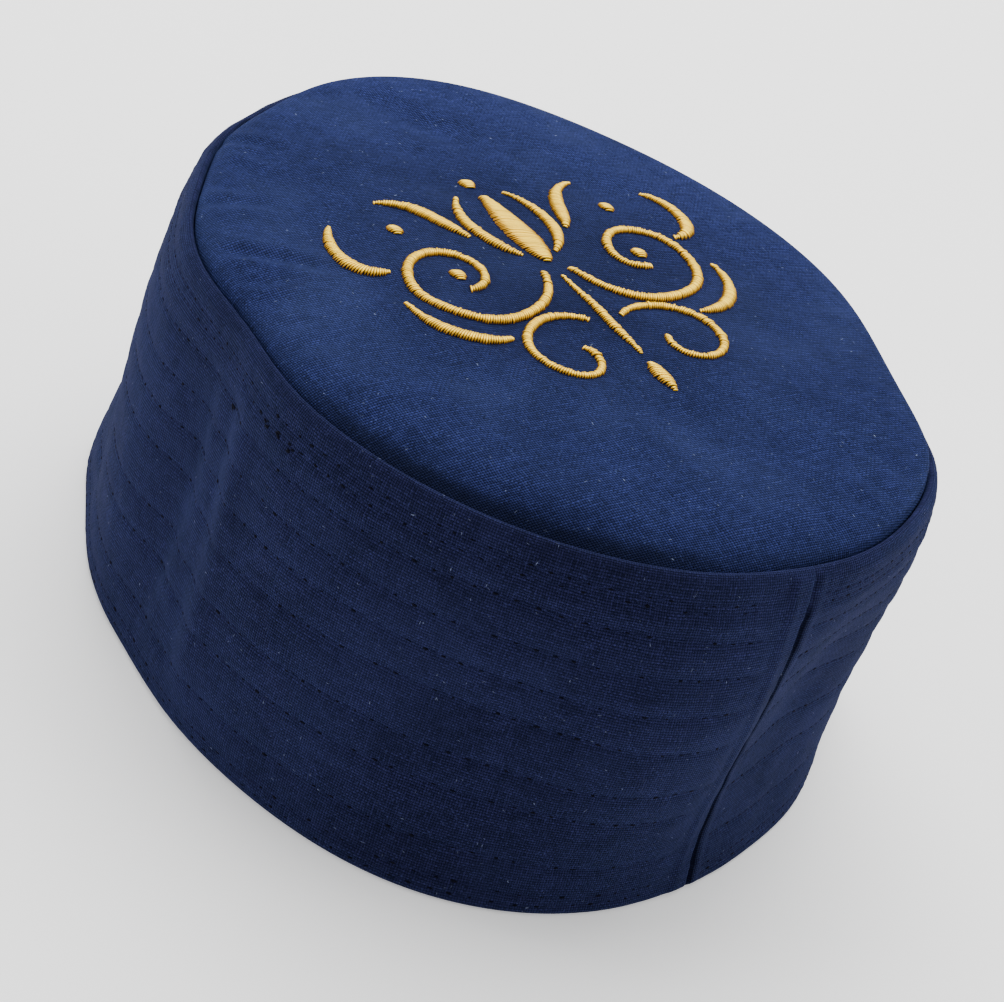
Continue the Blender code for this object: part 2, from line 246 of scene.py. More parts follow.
@dataclass(frozen=True)
class WovenCloth:
    """Plain woven cloth of slightly uneven threads, with pale lint in it, painted shade between the threads and painted
    shading from its mesh.
    """

    name: str
    warp: Colour
    weft: Colour
    # The dark colour between the threads: painted shade.
    gap: Colour = (0.0020, 0.0032, 0.0110, 1.0)
    lint: Colour = (0.22, 0.27, 0.40, 1.0)
    heather: Colour = (0.042, 0.058, 0.150, 1.0)
    lay: Lay = Lay.UV
    warp_pitch: float = 0.00058
    weft_pitch: float = 0.00062
    relief: float = 0.00024
    roughness: float = 0.92
    sheen: float = 0.10
    haze: float = 0.16

    def material(self) -> bpy.types.Material:
        """Build the finish."""
        nodes = Nodes(self.name)
        place = nodes.place(self.lay)
        u = nodes.axis(place, "X")
        v = nodes.axis(place, "Y")
        drift = nodes.noise(place, 90.0, 1.0) - 0.5
        a = u / self.warp_pitch + drift * 1.6
        b = v / self.weft_pitch + drift * 1.3
        warp_thread = a.floor()
        weft_thread = b.floor()
        warp_round = 1.0 - (a.fraction() * 2.0 - 1.0) ** 2.0
        weft_round = 1.0 - (b.fraction() * 2.0 - 1.0) ** 2.0
        warp_slub = nodes.noise(nodes.vector(warp_thread * 3.7, v * 300.0), 1.0, 2.0)
        weft_slub = nodes.noise(nodes.vector(u * 280.0, weft_thread * 4.3), 1.0, 2.0)
        warp_over = ((b + warp_thread) * math.pi - math.pi / 2).cosine()
        weft_over = ((a + weft_thread) * math.pi + math.pi / 2).cosine()
        warp_height = warp_round * (0.55 + 0.40 * warp_over + 0.55 * (warp_slub - 0.5))
        weft_height = weft_round * (0.55 + 0.40 * weft_over + 0.55 * (weft_slub - 0.5))
        height = warp_height.larger(weft_height)
        on_top = (warp_height - weft_height).fade(-0.08, 0.08)
        warp_tone = 0.82 + 0.20 * nodes.chance(warp_thread + 0.5) + 2.0 * (warp_slub - 0.47)
        weft_tone = 0.82 + 0.20 * nodes.chance(weft_thread + 900.5) + 2.0 * (weft_slub - 0.47)
        threads = nodes.mix(on_top, self.weft, self.warp)
        tone = on_top * warp_tone + (1.0 - on_top) * weft_tone
        # Painted shading: the mesh's painted_shading_and_tone attribute darkens the colour, or lightens it where it is
        # below zero.
        painted_shading_factor = 1.0 - nodes.attribute("painted_shading_and_tone")
        wash = (0.62 + 0.76 * nodes.noise(place, 60.0, 4.0)) * painted_shading_factor
        lit = nodes.tint(threads, (tone * wash).larger(0.1))
        # Painted shade: the low parts of the weave take the gap colour.
        cloth = nodes.mix(height.fade(0.15, 0.90), self.gap, lit)
        haze = nodes.noise(place, 26.0, 3.0).fade(0.42, 0.70) * self.haze
        heather = (self._cells(nodes, place, 900.0, 0.30, 0.30) * 0.65).larger(haze) * painted_shading_factor
        cloth = nodes.mix(heather, cloth, self.heather)
        specks = self._specks(nodes, place)
        colour = nodes.mix(specks, cloth, self.lint)
        fuzz = nodes.noise(place, 5200.0, 2.0)
        normal = nodes.bump(height + 0.25 * fuzz + 0.4 * specks, self.relief)
        return nodes.dress(
            Base_Color=colour,
            Roughness=self.roughness,
            Normal=normal,
            Sheen_Weight=self.sheen,
            Sheen_Roughness=0.45,
            Sheen_Tint=(0.22, 0.37, 1.0, 1.0),
            Specular_IOR_Level=0.04,
        )

    def _specks(self, nodes: Nodes, place: Value) -> Value:
        """Pale neps and short fibres, as a mask."""
        bend = nodes.noise(place, 420.0, 1.0) * 0.0016
        u = nodes.axis(place, "X") + bend
        v = nodes.axis(place, "Y") + bend
        neps = self._cells(nodes, nodes.vector(u, v), 330.0, 0.055, 0.30)
        along = self._cells(nodes, nodes.vector(u * 5.0, v), 175.0, 0.085, 0.22)
        across = self._cells(nodes, nodes.vector(u, v * 5.5, 3.0), 165.0, 0.080, 0.22)
        slanted = self._cells(nodes, nodes.vector((u + v) * 4.0, u - v, 7.0), 150.0, 0.085, 0.20)
        return neps.larger(along).larger(across).larger(slanted)

    @staticmethod
    def _cells(nodes: Nodes, place: Value, scale: float, size: float, share: float) -> Value:
        """Small marks, one in each of a share of random cells.

        Args:
            nodes: The material's nodes.
            place: Where the pattern is read.
            scale: Cells to a metre.
            size: The mark's radius in cells.
            share: How many of the cells hold a mark.

        Returns:
            A mask of the marks.
        """
        cells = {"Vector": place, "Scale": scale}
        near = nodes.add("ShaderNodeTexVoronoi", {}, cells, "Distance")
        tag = nodes.add("ShaderNodeTexVoronoi", {}, cells, "Color")
        chosen = nodes.axis(tag, "X") < share
        strength = 0.35 + 0.65 * nodes.axis(tag, "Y")
        return (1.0 - near.fade(size * 0.45, size)) * chosen * strength


@dataclass(frozen=True)
class Thread:
    """A sewing or embroidery thread, whose colour turns towards a painted shade colour where its edge attribute is
    high.
    """

    name: str
    colour: Colour
    shade_colour: Colour
    roughness: float = 0.5
    gloss: float = 0.5
    metallic: float = 0.0
    grain: float = 2600.0

    def material(self) -> bpy.types.Material:
        """Build the finish."""
        nodes = Nodes(self.name)
        place = nodes.place(Lay.OBJECT)
        edge = nodes.attribute("edge")
        strand = nodes.attribute("strand")
        grain = nodes.noise(place, self.grain, 2.0)
        soft = nodes.noise(place, 240.0, 2.0)
        # Painted shade: the colour turns to the shade colour where the edge attribute is high.
        colour = nodes.mix(edge.fade(0.42, 1.00), self.colour, self.shade_colour)
        tone = 0.87 + 0.28 * strand + 0.20 * (grain - 0.5) + 0.20 * (soft - 0.5)
        return nodes.dress(
            Base_Color=nodes.tint(colour, tone),
            Roughness=self.roughness + 0.25 * (grain - 0.5),
            Metallic=self.metallic,
            Specular_IOR_Level=self.gloss,
            Normal=nodes.bump(grain, 0.00006),
        )


@dataclass(frozen=True)
class PaperFloor:
    """Matt pale paper."""

    name: str = "floor_paper"
    colour: Colour = (0.94, 0.94, 0.94, 1.0)

    def material(self) -> bpy.types.Material:
        """Build the finish."""
        nodes = Nodes(self.name)
        grain = nodes.noise(nodes.place(Lay.OBJECT), 900.0, 2.0)
        return nodes.dress(
            Base_Color=nodes.tint(nodes.mix(0.0, self.colour, self.colour), 0.98 + 0.04 * grain),
            Roughness=0.9,
            Specular_IOR_Level=0.1,
            Emission_Color=(1.0, 1.0, 1.0, 1.0),
            Emission_Strength=0.32,
        )


class Bench:
    """What is done by hand at the modelling bench."""

    @staticmethod
    def clear() -> None:
        """Leave edit mode and deselect everything."""
        if bpy.context.object and bpy.context.object.mode != "OBJECT":
            bpy.ops.object.mode_set(mode="OBJECT")
        bpy.ops.object.select_all(action="DESELECT")

    @classmethod
    def take(cls, *objects: bpy.types.Object) -> bpy.types.Object:
        """Select objects, the first of them active."""
        cls.clear()
        for obj in objects:
            obj.select_set(True)
        bpy.context.view_layer.objects.active = objects[0]
        return objects[0]

    @classmethod
    def edit(cls, obj: bpy.types.Object, kind: str = "VERT") -> None:
        """Start to edit an object with nothing selected."""
        cls.take(obj)
        bpy.ops.object.mode_set(mode="EDIT")
        bpy.ops.mesh.select_mode(type=kind)
        bpy.ops.mesh.select_all(action="DESELECT")

    @classmethod
    def pick_edges(cls, obj: bpy.types.Object, wanted: Callable[[Vector, Vector], bool]) -> None:
        """Select the edges whose two ends pass a test."""
        cls.edit(obj, "EDGE")
        mesh = bmesh.from_edit_mesh(obj.data)
        for edge in mesh.edges:
            edge.select_set(wanted(edge.verts[0].co, edge.verts[1].co))
        bmesh.update_edit_mesh(obj.data)

    @classmethod
    def modify(cls, obj: bpy.types.Object, kind: str, **settings: object) -> None:
        """Add a modifier, set it and apply it."""
        cls.take(obj)
        modifier = obj.modifiers.new(kind.lower(), kind)
        for name, setting in settings.items():
            setattr(modifier, name, setting)
        bpy.ops.object.modifier_apply(modifier=modifier.name)

    @classmethod
    def join(cls, name: str, *objects: bpy.types.Object) -> bpy.types.Object:
        """Join objects into the first and rename it."""
        joined = cls.take(*objects)
        bpy.ops.object.join()
        joined.name = name
        joined.data.name = name
        return joined

    @classmethod
    def settle(cls, obj: bpy.types.Object) -> None:
        """Move an object's place, turn and scale into its mesh."""
        cls.take(obj)
        bpy.ops.object.transform_apply(location=True, rotation=True, scale=True)

    @staticmethod
    def points(obj: bpy.types.Object) -> np.ndarray:
        """The mesh's points, a row each."""
        flat = np.empty(len(obj.data.vertices) * 3)
        obj.data.vertices.foreach_get("co", flat)
        return flat.reshape(-1, 3)

    @staticmethod
    def move(obj: bpy.types.Object, points: np.ndarray) -> None:
        """Put the mesh's points at new places."""
        obj.data.vertices.foreach_set("co", points.astype(np.float32).ravel())
        obj.data.update()

    @staticmethod
    def corners(obj: bpy.types.Object) -> np.ndarray:
        """The point at each corner of each face."""
        found = np.empty(len(obj.data.loops), dtype=np.int32)
        obj.data.loops.foreach_get("vertex_index", found)
        return found

    @staticmethod
    def lay_flat(obj: bpy.types.Object, flat: np.ndarray) -> None:
        """Replace the mesh's layouts by one, a place in metres for each corner."""
        while obj.data.uv_layers:
            obj.data.uv_layers.remove(obj.data.uv_layers[0])
        layout = obj.data.uv_layers.new(name="cloth")
        layout.data.foreach_set("uv", flat.astype(np.float32).ravel())

    @staticmethod
    def weigh(obj: bpy.types.Object, name: str, weights: np.ndarray) -> None:
        """Keep weights of 0 to 1 as a vertex group."""
        group = obj.vertex_groups.new(name=name)
        for index in np.nonzero(weights > 0.002)[0]:
            group.add([int(index)], float(weights[index]), "REPLACE")

    @staticmethod
    def mark(obj: bpy.types.Object, name: str, numbers: np.ndarray) -> None:
        """Keep a number for each point."""
        kept = obj.data.attributes.new(name, "FLOAT", "POINT")
        kept.data.foreach_set("value", numbers.astype(np.float32))

    @classmethod
    def relieve(cls, obj: bpy.types.Object, name: str, heights: np.ndarray) -> None:
        """Raise or sink the surface along its normals, by heights in metres."""
        for sign, word in ((1.0, "raised"), (-1.0, "sunk")):
            part = np.clip(heights * sign, 0.0, None)
            reach = float(part.max())
            if reach <= 0.0:
                continue
            group = f"{name}_{word}"
            cls.weigh(obj, group, part / reach)
            cls.modify(obj, "DISPLACE", vertex_group=group, strength=sign * reach, mid_level=0.0)
        obj.vertex_groups.clear()

    @staticmethod
    def surface(obj: bpy.types.Object) -> BVHTree:
        """The object's faces, to find places on them."""
        return BVHTree.FromObject(obj, bpy.context.evaluated_depsgraph_get())

    @classmethod
    def smooth_form(cls, node: str, rounds: int) -> bpy.types.Object:
        """A smooth copy of a CAD node, over which cloth is fitted.

        Args:
            node: The node's name.
            rounds: How many times its faces are divided.

        Returns:
            The copy, which the caller deletes.
        """
        cls.take(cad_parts[node])
        bpy.ops.object.duplicate()
        form = bpy.context.object
        form.parent = None
        bpy.ops.object.mode_set(mode="EDIT")
        bpy.ops.mesh.select_all(action="SELECT")
        bpy.ops.mesh.remove_doubles(threshold=0.00002)
        bpy.ops.mesh.tris_convert_to_quads(face_threshold=math.radians(60), shape_threshold=math.radians(60))
        bpy.ops.object.mode_set(mode="OBJECT")
        cls.modify(form, "SUBSURF", levels=rounds, render_levels=rounds)
        return form

    @staticmethod
    def drop(obj: bpy.types.Object) -> None:
        """Delete an object and its mesh."""
        mesh = obj.data
        bpy.data.objects.remove(obj, do_unlink=True)
        bpy.data.meshes.remove(mesh)


def finish_piece(obj: bpy.types.Object, material: bpy.types.Material, nodes: Iterable[str] = ()) -> None:
    """Give a piece its material, its body and the nodes that it stands for."""
    obj.data.materials.clear()
    obj.data.materials.append(material)
    obj.data.shade_smooth()
    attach(obj, "root")
    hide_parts(*nodes)
    LOG.info("%s: %d faces", obj.name, len(obj.data.polygons))


def bell(offset: np.ndarray | float, reach: float) -> np.ndarray:
    """A soft bump that is 1 at no offset and fades out past its reach."""
    return np.exp(-((np.asarray(offset) / reach) ** 2))


def soft_step(value: np.ndarray, low: float, high: float) -> np.ndarray:
    """Zero below low and one above high, with soft ends."""
    share = np.clip((value - low) / (high - low), 0.0, 1.0)
    return share * share * (3.0 - 2.0 * share)


def turn_between(angle: np.ndarray | float, other: float) -> np.ndarray:
    """The signed turn from one plan angle to another, in degrees, the short way round."""
    return (np.asarray(angle) - other + 180.0) % 360.0 - 180.0


class Ripple:
    """Smooth random waves over a plane, the same on every run."""

    def __init__(self, seed: int, length: float, waves: int = 14) -> None:
        """Choose the waves.

        Args:
            seed: What the choice follows.
            length: About how long a wave is, in metres.
            waves: How many waves are summed.
        """
        chance = np.random.default_rng(seed)
        turns = chance.uniform(0.0, 2 * math.pi, waves)
        rates = 2 * math.pi / (length * chance.uniform(0.6, 1.8, waves))
        self.rates = np.stack([rates * np.cos(turns), rates * np.sin(turns)], axis=1)
        self.phases = chance.uniform(0.0, 2 * math.pi, waves)

    def at(self, u: np.ndarray, v: np.ndarray) -> np.ndarray:
        """The height of the waves, about -1 to 1, at places in metres."""
        places = np.stack([np.asarray(u), np.asarray(v)], axis=-1)
        waves = np.sin(places @ self.rates.T + self.phases)
        return waves.sum(axis=-1) / math.sqrt(len(self.phases)) / 1.4


@dataclass(frozen=True)
class RimShape:
    """How the crown meets the band at a plan angle: how far the crown swells out and droops, and the lip sinks."""

    angle: float
    bulge: float = 0.0
    droop: float = 0.0
    sink: float = 0.0


RIM_SHAPES = (
    RimShape(0, bulge=0.0003, droop=0.0006),
    RimShape(30, droop=0.0028),
    RimShape(55, droop=0.0042),
    RimShape(80, droop=0.0015),
    RimShape(110, bulge=0.0006, droop=0.0002),
    RimShape(135, bulge=0.0020, sink=0.0010),
    RimShape(160, bulge=0.0029, sink=0.0015),
    RimShape(185, bulge=0.0029, sink=0.0015),
    RimShape(210, bulge=0.0029, sink=0.0015),
    RimShape(235, bulge=0.0029, sink=0.0015),
    RimShape(260, bulge=0.0029, sink=0.0015),
    RimShape(285, bulge=0.0010, sink=0.0004),
    RimShape(305, bulge=0.0005),
    RimShape(330, bulge=0.0006),
)


def rim_value(column: str, angles: np.ndarray) -> np.ndarray:
    """A column of RIM_SHAPES at plan angles, smoothed round the cap."""
    total = np.zeros(np.shape(angles))
    weights = np.zeros(np.shape(angles))
    for shape in RIM_SHAPES:
        near = bell(turn_between(angles, shape.angle), 16.0)
        total += near * getattr(shape, column)
        weights += near
    return total / weights


@dataclass(frozen=True)
class SoftFold:
    """A soft upright fold of the band: the plan angles of its top and foot, its reach and its height."""

    top: float
    foot: float
    reach: float
    rise: float

    def height(self, angles: np.ndarray, heights: np.ndarray) -> np.ndarray:
        """How far the fold raises or sinks the cloth, in metres."""
        share = soft_step(heights, 0.040, 0.078)
        middle = self.foot + turn_between(self.top, self.foot) * share
        ends = soft_step(heights, 0.004, 0.020) * (1.0 - soft_step(heights, 0.070, 0.081))
        return self.rise * ends * bell(turn_between(angles, middle), self.reach)


SOFT_FOLDS = (
    SoftFold(top=355.0, foot=357.0, reach=2.4, rise=0.0006),
    SoftFold(top=359.0, foot=2.9, reach=2.8, rise=-0.0009),
    SoftFold(top=4.5, foot=8.4, reach=2.8, rise=0.0008),
)


@dataclass
class SewnRow:
    """One row of running stitches round the band."""

    height: float
    depth: float
    length: float = 0.0024
    space: float = 0.0018
    sway: float = 0.0004


@dataclass
class QuiltedBand:
    """The upright band: outer cloth, rounded lip, turned hem and inner cloth, in one closed piece."""

    middle_x: float = 0.0009
    middle_y: float = 0.0021
    wall_height: float = 0.0875
    wall: float = 0.0028
    columns: int = 600
    outer_rows: int = 104
    inner_rows: int = 12
    lip_cuts: int = 9
    hem_cuts: int = 3
    start_radius: float = 0.130
    inner_start: float = 0.045
    foot: float = 0.0008
    hem_height: float = 0.0062
    allowance_height: float = 0.0770
    groove_reach: float = 0.0010
    swell: float = 0.00012
    seam_turned: float = 0.0068
    seam_plain: float = 0.0030
    crowding: float = 0.7
    crowd_turn: float = 11.0
    rows: tuple[SewnRow, ...] = (
        SewnRow(height=0.0830, depth=0.00026),
        SewnRow(height=0.0806, depth=0.00024),
        SewnRow(height=0.0742, depth=0.00026),
        SewnRow(height=0.0655, depth=0.00026),
        SewnRow(height=0.0570, depth=0.00026),
        SewnRow(height=0.0478, depth=0.00026),
        SewnRow(height=0.0350, depth=0.00026),
        SewnRow(height=0.0262, depth=0.00026),
        SewnRow(height=0.0131, depth=0.00026),
        SewnRow(height=0.0052, depth=0.00024),
        SewnRow(height=0.0027, depth=0.00020),
    )
    piece: bpy.types.Object = field(default=None, repr=False)
    ripple: Ripple = field(default_factory=lambda: Ripple(3, 0.013))
    fine_ripple: Ripple = field(default_factory=lambda: Ripple(11, 0.0045))

    @property
    def middle(self) -> Vector:
        """The middle of the cap's oval, at the floor."""
        return Vector((self.middle_x, self.middle_y, 0.0))

    def build(self, material: bpy.types.Material) -> bpy.types.Object:
        """Fit the cloth over the band's form, sink the stitch rows and dress it."""
        form = Bench.smooth_form("side_band", 2)
        outer = self._wall("outer", self.start_radius, self.outer_rows, form, inward=True)
        inner = self._wall("inner", self.inner_start, self.inner_rows, form, inward=False)
        band = Bench.join("quilted_band", outer, inner)
        self._close(band, top=True, cuts=self.lip_cuts)
        self._close(band, top=False, cuts=self.hem_cuts)
        self._seat_edges(band, form)
        Bench.drop(form)
        self._lay_out(band)
        self._roll_lip(band)
        self._quilt(band)
        finish_piece(band, material, ["side_band"])
        self.piece = band
        return band

    def _wall(self, name: str, radius: float, rows: int, form: bpy.types.Object, inward: bool) -> bpy.types.Object:
        """One face of the band: a cylinder that closes on the form from outside or inside."""
        low = self.foot
        high = self.wall_height - self.foot
        bpy.ops.object.select_all(action="DESELECT")
        bpy.ops.mesh.primitive_cylinder_add(
            vertices=self.columns,
            radius=radius,
            depth=high - low,
            end_fill_type="NOTHING",
            location=(self.middle_x, self.middle_y, (high + low) / 2),
        )
        wall = bpy.context.object
        wall.name = name
        Bench.settle(wall)
        Bench.pick_edges(wall, lambda a, b: abs(a.z - b.z) > MILLIMETRE)
        bpy.ops.mesh.subdivide(number_cuts=rows)
        bpy.ops.object.mode_set(mode="OBJECT")
        self._crowd(wall)
        Bench.modify(
            wall,
            "SHRINKWRAP",
            target=form,
            wrap_method="PROJECT",
            use_negative_direction=inward,
            use_positive_direction=not inward,
        )
        if not inward:
            Bench.edit(wall)
            bpy.ops.mesh.select_all(action="SELECT")
            bpy.ops.mesh.flip_normals()
            bpy.ops.object.mode_set(mode="OBJECT")
        return wall

    def _crowd(self, wall: bpy.types.Object) -> None:
        """Draw the columns of points together at the back seam, where the cloth folds finely."""
        points = Bench.points(wall)
        angles, radii = self.polar(points)
        turn = turn_between(angles, BACK_SEAM)
        turned = np.radians(BACK_SEAM + turn * (1.0 - self.crowding * bell(turn, self.crowd_turn)))
        points[:, 0] = self.middle_x + radii * np.cos(turned)
        points[:, 1] = self.middle_y + radii * np.sin(turned)
        Bench.move(wall, points)

    def _close(self, band: bpy.types.Object, top: bool, cuts: int) -> None:
        """Bridge the open edges of the two faces, at the lip or at the hem."""
        level = self.wall_height - self.foot if top else self.foot

        def on_edge(first: Vector, second: Vector) -> bool:
            """Tell whether an edge lies along the open rim."""
            return abs(first.z - level) < 0.00005 and abs(second.z - level) < 0.00005

        Bench.pick_edges(band, on_edge)
        bpy.ops.mesh.bridge_edge_loops(number_cuts=cuts, interpolation="LINEAR")
        bpy.ops.object.mode_set(mode="OBJECT")

    def _seat_edges(self, band: bpy.types.Object, form: bpy.types.Object) -> None:
        """Bring the bridged lip up and the bridged hem down onto the form."""
        for upward, cuts in ((True, self.lip_cuts), (False, self.hem_cuts)):
            added = self.columns * cuts
            first = len(band.data.vertices) - self.columns * self.hem_cuts - (added if upward else 0)
            weights = np.zeros(len(band.data.vertices))
            weights[first : first + added] = 1.0
            Bench.weigh(band, "edge", weights)
            Bench.modify(
                band,
                "SHRINKWRAP",
                target=form,
                wrap_method="PROJECT",
                use_project_z=True,
                use_positive_direction=upward,
                use_negative_direction=not upward,
                vertex_group="edge",
            )
            band.vertex_groups.clear()

    def _roll_lip(self, band: bpy.types.Object) -> None:
        """Lower the lip where the crown swells over it."""
        points = Bench.points(band)
        angles, _ = self.polar(points)
        share = soft_step(points[:, 2], self.wall_height - 0.0050, self.wall_height + 0.0010)
        points[:, 2] -= rim_value("sink", angles) * share
        Bench.move(band, points)

    def polar(self, points: np.ndarray) -> tuple[np.ndarray, np.ndarray]:
        """The plan angles, in degrees, and the plan radii of points about the middle."""
        x = points[:, 0] - self.middle_x
        y = points[:, 1] - self.middle_y
        return np.degrees(np.arctan2(y, x)) % 360.0, np.hypot(x, y)

    def _lay_out(self, band: bpy.types.Object) -> None:
        """Give the cloth a flat layout in metres, cut at the back seam."""
        points = Bench.points(band)
        angles, radii = self.polar(points)
        outer = self._outer(band)
        levels = points[outer, 2]
        level = levels[np.argmin(np.abs(levels - self.wall_height / 2))]
        near_middle = outer & (np.abs(points[:, 2] - level) < 0.00001)
        order = np.argsort(angles[near_middle])
        ring_angles = angles[near_middle][order]
        ring = points[near_middle][order][:, :2]
        steps = np.linalg.norm(np.diff(ring, axis=0), axis=1)
        lengths = np.concatenate([[0.0], np.cumsum(steps)])
        self.around = float(lengths[-1] + np.linalg.norm(ring[0] - ring[-1]))
        knots = np.append(ring_angles, ring_angles[0] + 360.0)
        marks = np.append(lengths, self.around)
        self.arc = lambda angle: np.interp((angle - ring_angles[0]) % 360.0 + ring_angles[0], knots, marks)
        mesh = band.data
        loop_points = Bench.corners(band)
        totals = np.empty(len(mesh.polygons), dtype=np.int32)
        mesh.polygons.foreach_get("loop_total", totals)
        centres = np.empty(len(mesh.polygons) * 3)
        mesh.polygons.foreach_get("center", centres)
        face_angles, _ = self.polar(centres.reshape(-1, 3))
        face_of_loop = np.repeat(np.arange(len(totals)), totals)
        start = self.arc(np.array([BACK_SEAM]))[0]
        own = (self.arc(angles[loop_points]) - start) % self.around
        of_face = (self.arc(face_angles[face_of_loop]) - start) % self.around
        own = np.where(own - of_face > self.around / 2, own - self.around, own)
        own = np.where(of_face - own > self.around / 2, own + self.around, own)
        inset = np.interp(angles, *self.edge(points, angles, radii), period=360.0) - radii
        up = points[:, 2] + np.where(points[:, 2] > self.wall_height - 0.002, np.clip(inset, 0.0, None), 0.0)
        Bench.lay_flat(band, np.stack([own, up[loop_points]], axis=1))

    def edge(self, points: np.ndarray, angles: np.ndarray, radii: np.ndarray) -> tuple[np.ndarray, np.ndarray]:
        """The outer face's plan radius at each angle, just under the lip."""
        near_top = np.abs(points[:, 2] - (self.wall_height - self.foot)) < 0.00005
        near_top &= radii > np.interp(angles, np.arange(0.0, 360.0, 5.0), self._middle_radius(angles, radii, near_top), period=360.0)
        order = np.argsort(angles[near_top])
        return angles[near_top][order], radii[near_top][order]

    @staticmethod
    def _middle_radius(angles: np.ndarray, radii: np.ndarray, chosen: np.ndarray) -> np.ndarray:
        """The mean plan radius of chosen points in steps of five degrees."""
        found = []
        for angle in np.arange(0.0, 360.0, 5.0):
            near = chosen & (np.abs(turn_between(angles, angle)) < 2.5)
            found.append(radii[near].mean())
        return np.array(found)

    def _outer(self, band: bpy.types.Object) -> np.ndarray:
        """Which points lie on the outer face."""
        flat = np.empty(len(band.data.vertices) * 3)
        band.data.vertices.foreach_get("normal", flat)
        normals = flat.reshape(-1, 3)
        points = Bench.points(band)
        out = (points - np.array(self.middle)) * [1.0, 1.0, 0.0]
        return (normals * out).sum(axis=1) > 0.0

    def _quilt(self, band: bpy.types.Object) -> None:
        """Sink the stitch rows and the back seam, let the cloth swell and ripple between them, and paint shade into the
        seam's groove.
        """
        points = Bench.points(band)
        angles, _ = self.polar(points)
        outer = self._outer(band)
        heights = points[:, 2]
        around = self.arc(angles)
        from_seam = turn_between(angles, BACK_SEAM) * self.around / 360.0
        sewn = 1.0 - soft_step(from_seam, -self.seam_turned - 0.002, -self.seam_turned)
        sewn += soft_step(from_seam, self.seam_plain, self.seam_plain + 0.002)
        relief = np.zeros(len(points))
        nearest = np.full(len(points), 1.0)
        for row in self.rows:
            gap = heights - row.height - self.sway(row, around)
            relief -= row.depth * bell(gap, self.groove_reach) * (0.15 + 0.85 * sewn)
            nearest = np.minimum(nearest, np.abs(gap))
        swell = soft_step(nearest, 0.0, 0.0042)
        relief += self.swell * swell * sewn
        relief += 0.00016 * self.ripple.at(around, heights * 1.3) * (0.35 + 0.65 * swell)
        relief += 0.00007 * self.fine_ripple.at(around * 1.8, heights) * (1.0 - 0.6 * swell)
        relief += 0.00030 * soft_step(heights, self.allowance_height - 0.0006, self.allowance_height + 0.0010)
        relief += 0.00025 * (1.0 - soft_step(heights, self.hem_height, self.hem_height + 0.0010))
        turned = soft_step(from_seam, -self.seam_turned, -self.seam_turned + 0.0025)
        turned *= 1.0 - soft_step(from_seam, -0.0014, -0.0002)
        relief += turned * (0.00020 + 0.00036 * bell(from_seam + self.seam_turned - 0.0022, 0.0016))
        relief += 0.00030 * bell(from_seam - 0.0019, 0.0012)
        below_lip = 1.0 - soft_step(heights, 0.0775, 0.0815)
        relief -= 0.00100 * bell(from_seam, 0.00042) * (0.30 + 0.70 * below_lip)
        for fold in SOFT_FOLDS:
            relief += fold.height(angles, heights)
        fade = soft_step(heights, 0.0004, 0.0016) * (1.0 - soft_step(heights, 0.0866, 0.0882))
        Bench.relieve(band, "quilting", np.where(outer, relief * fade, 0.0))
        # Painted shade: a dark line in the back seam's groove, darker below the lip.
        line = bell(from_seam - 0.0006, 0.0006) * (0.20 + 0.80 * below_lip)
        Bench.mark(band, "painted_shading_and_tone", 0.80 * line * outer * (heights < 0.0860))

    def sway(self, row: SewnRow, around: np.ndarray) -> np.ndarray:
        """How far a row wanders from its height, at lengths around the band."""
        return row.sway * np.sin(around * 41.0 + row.height * 900.0) + 0.4 * row.sway * np.sin(around * 173.0 + row.height * 2300.0)


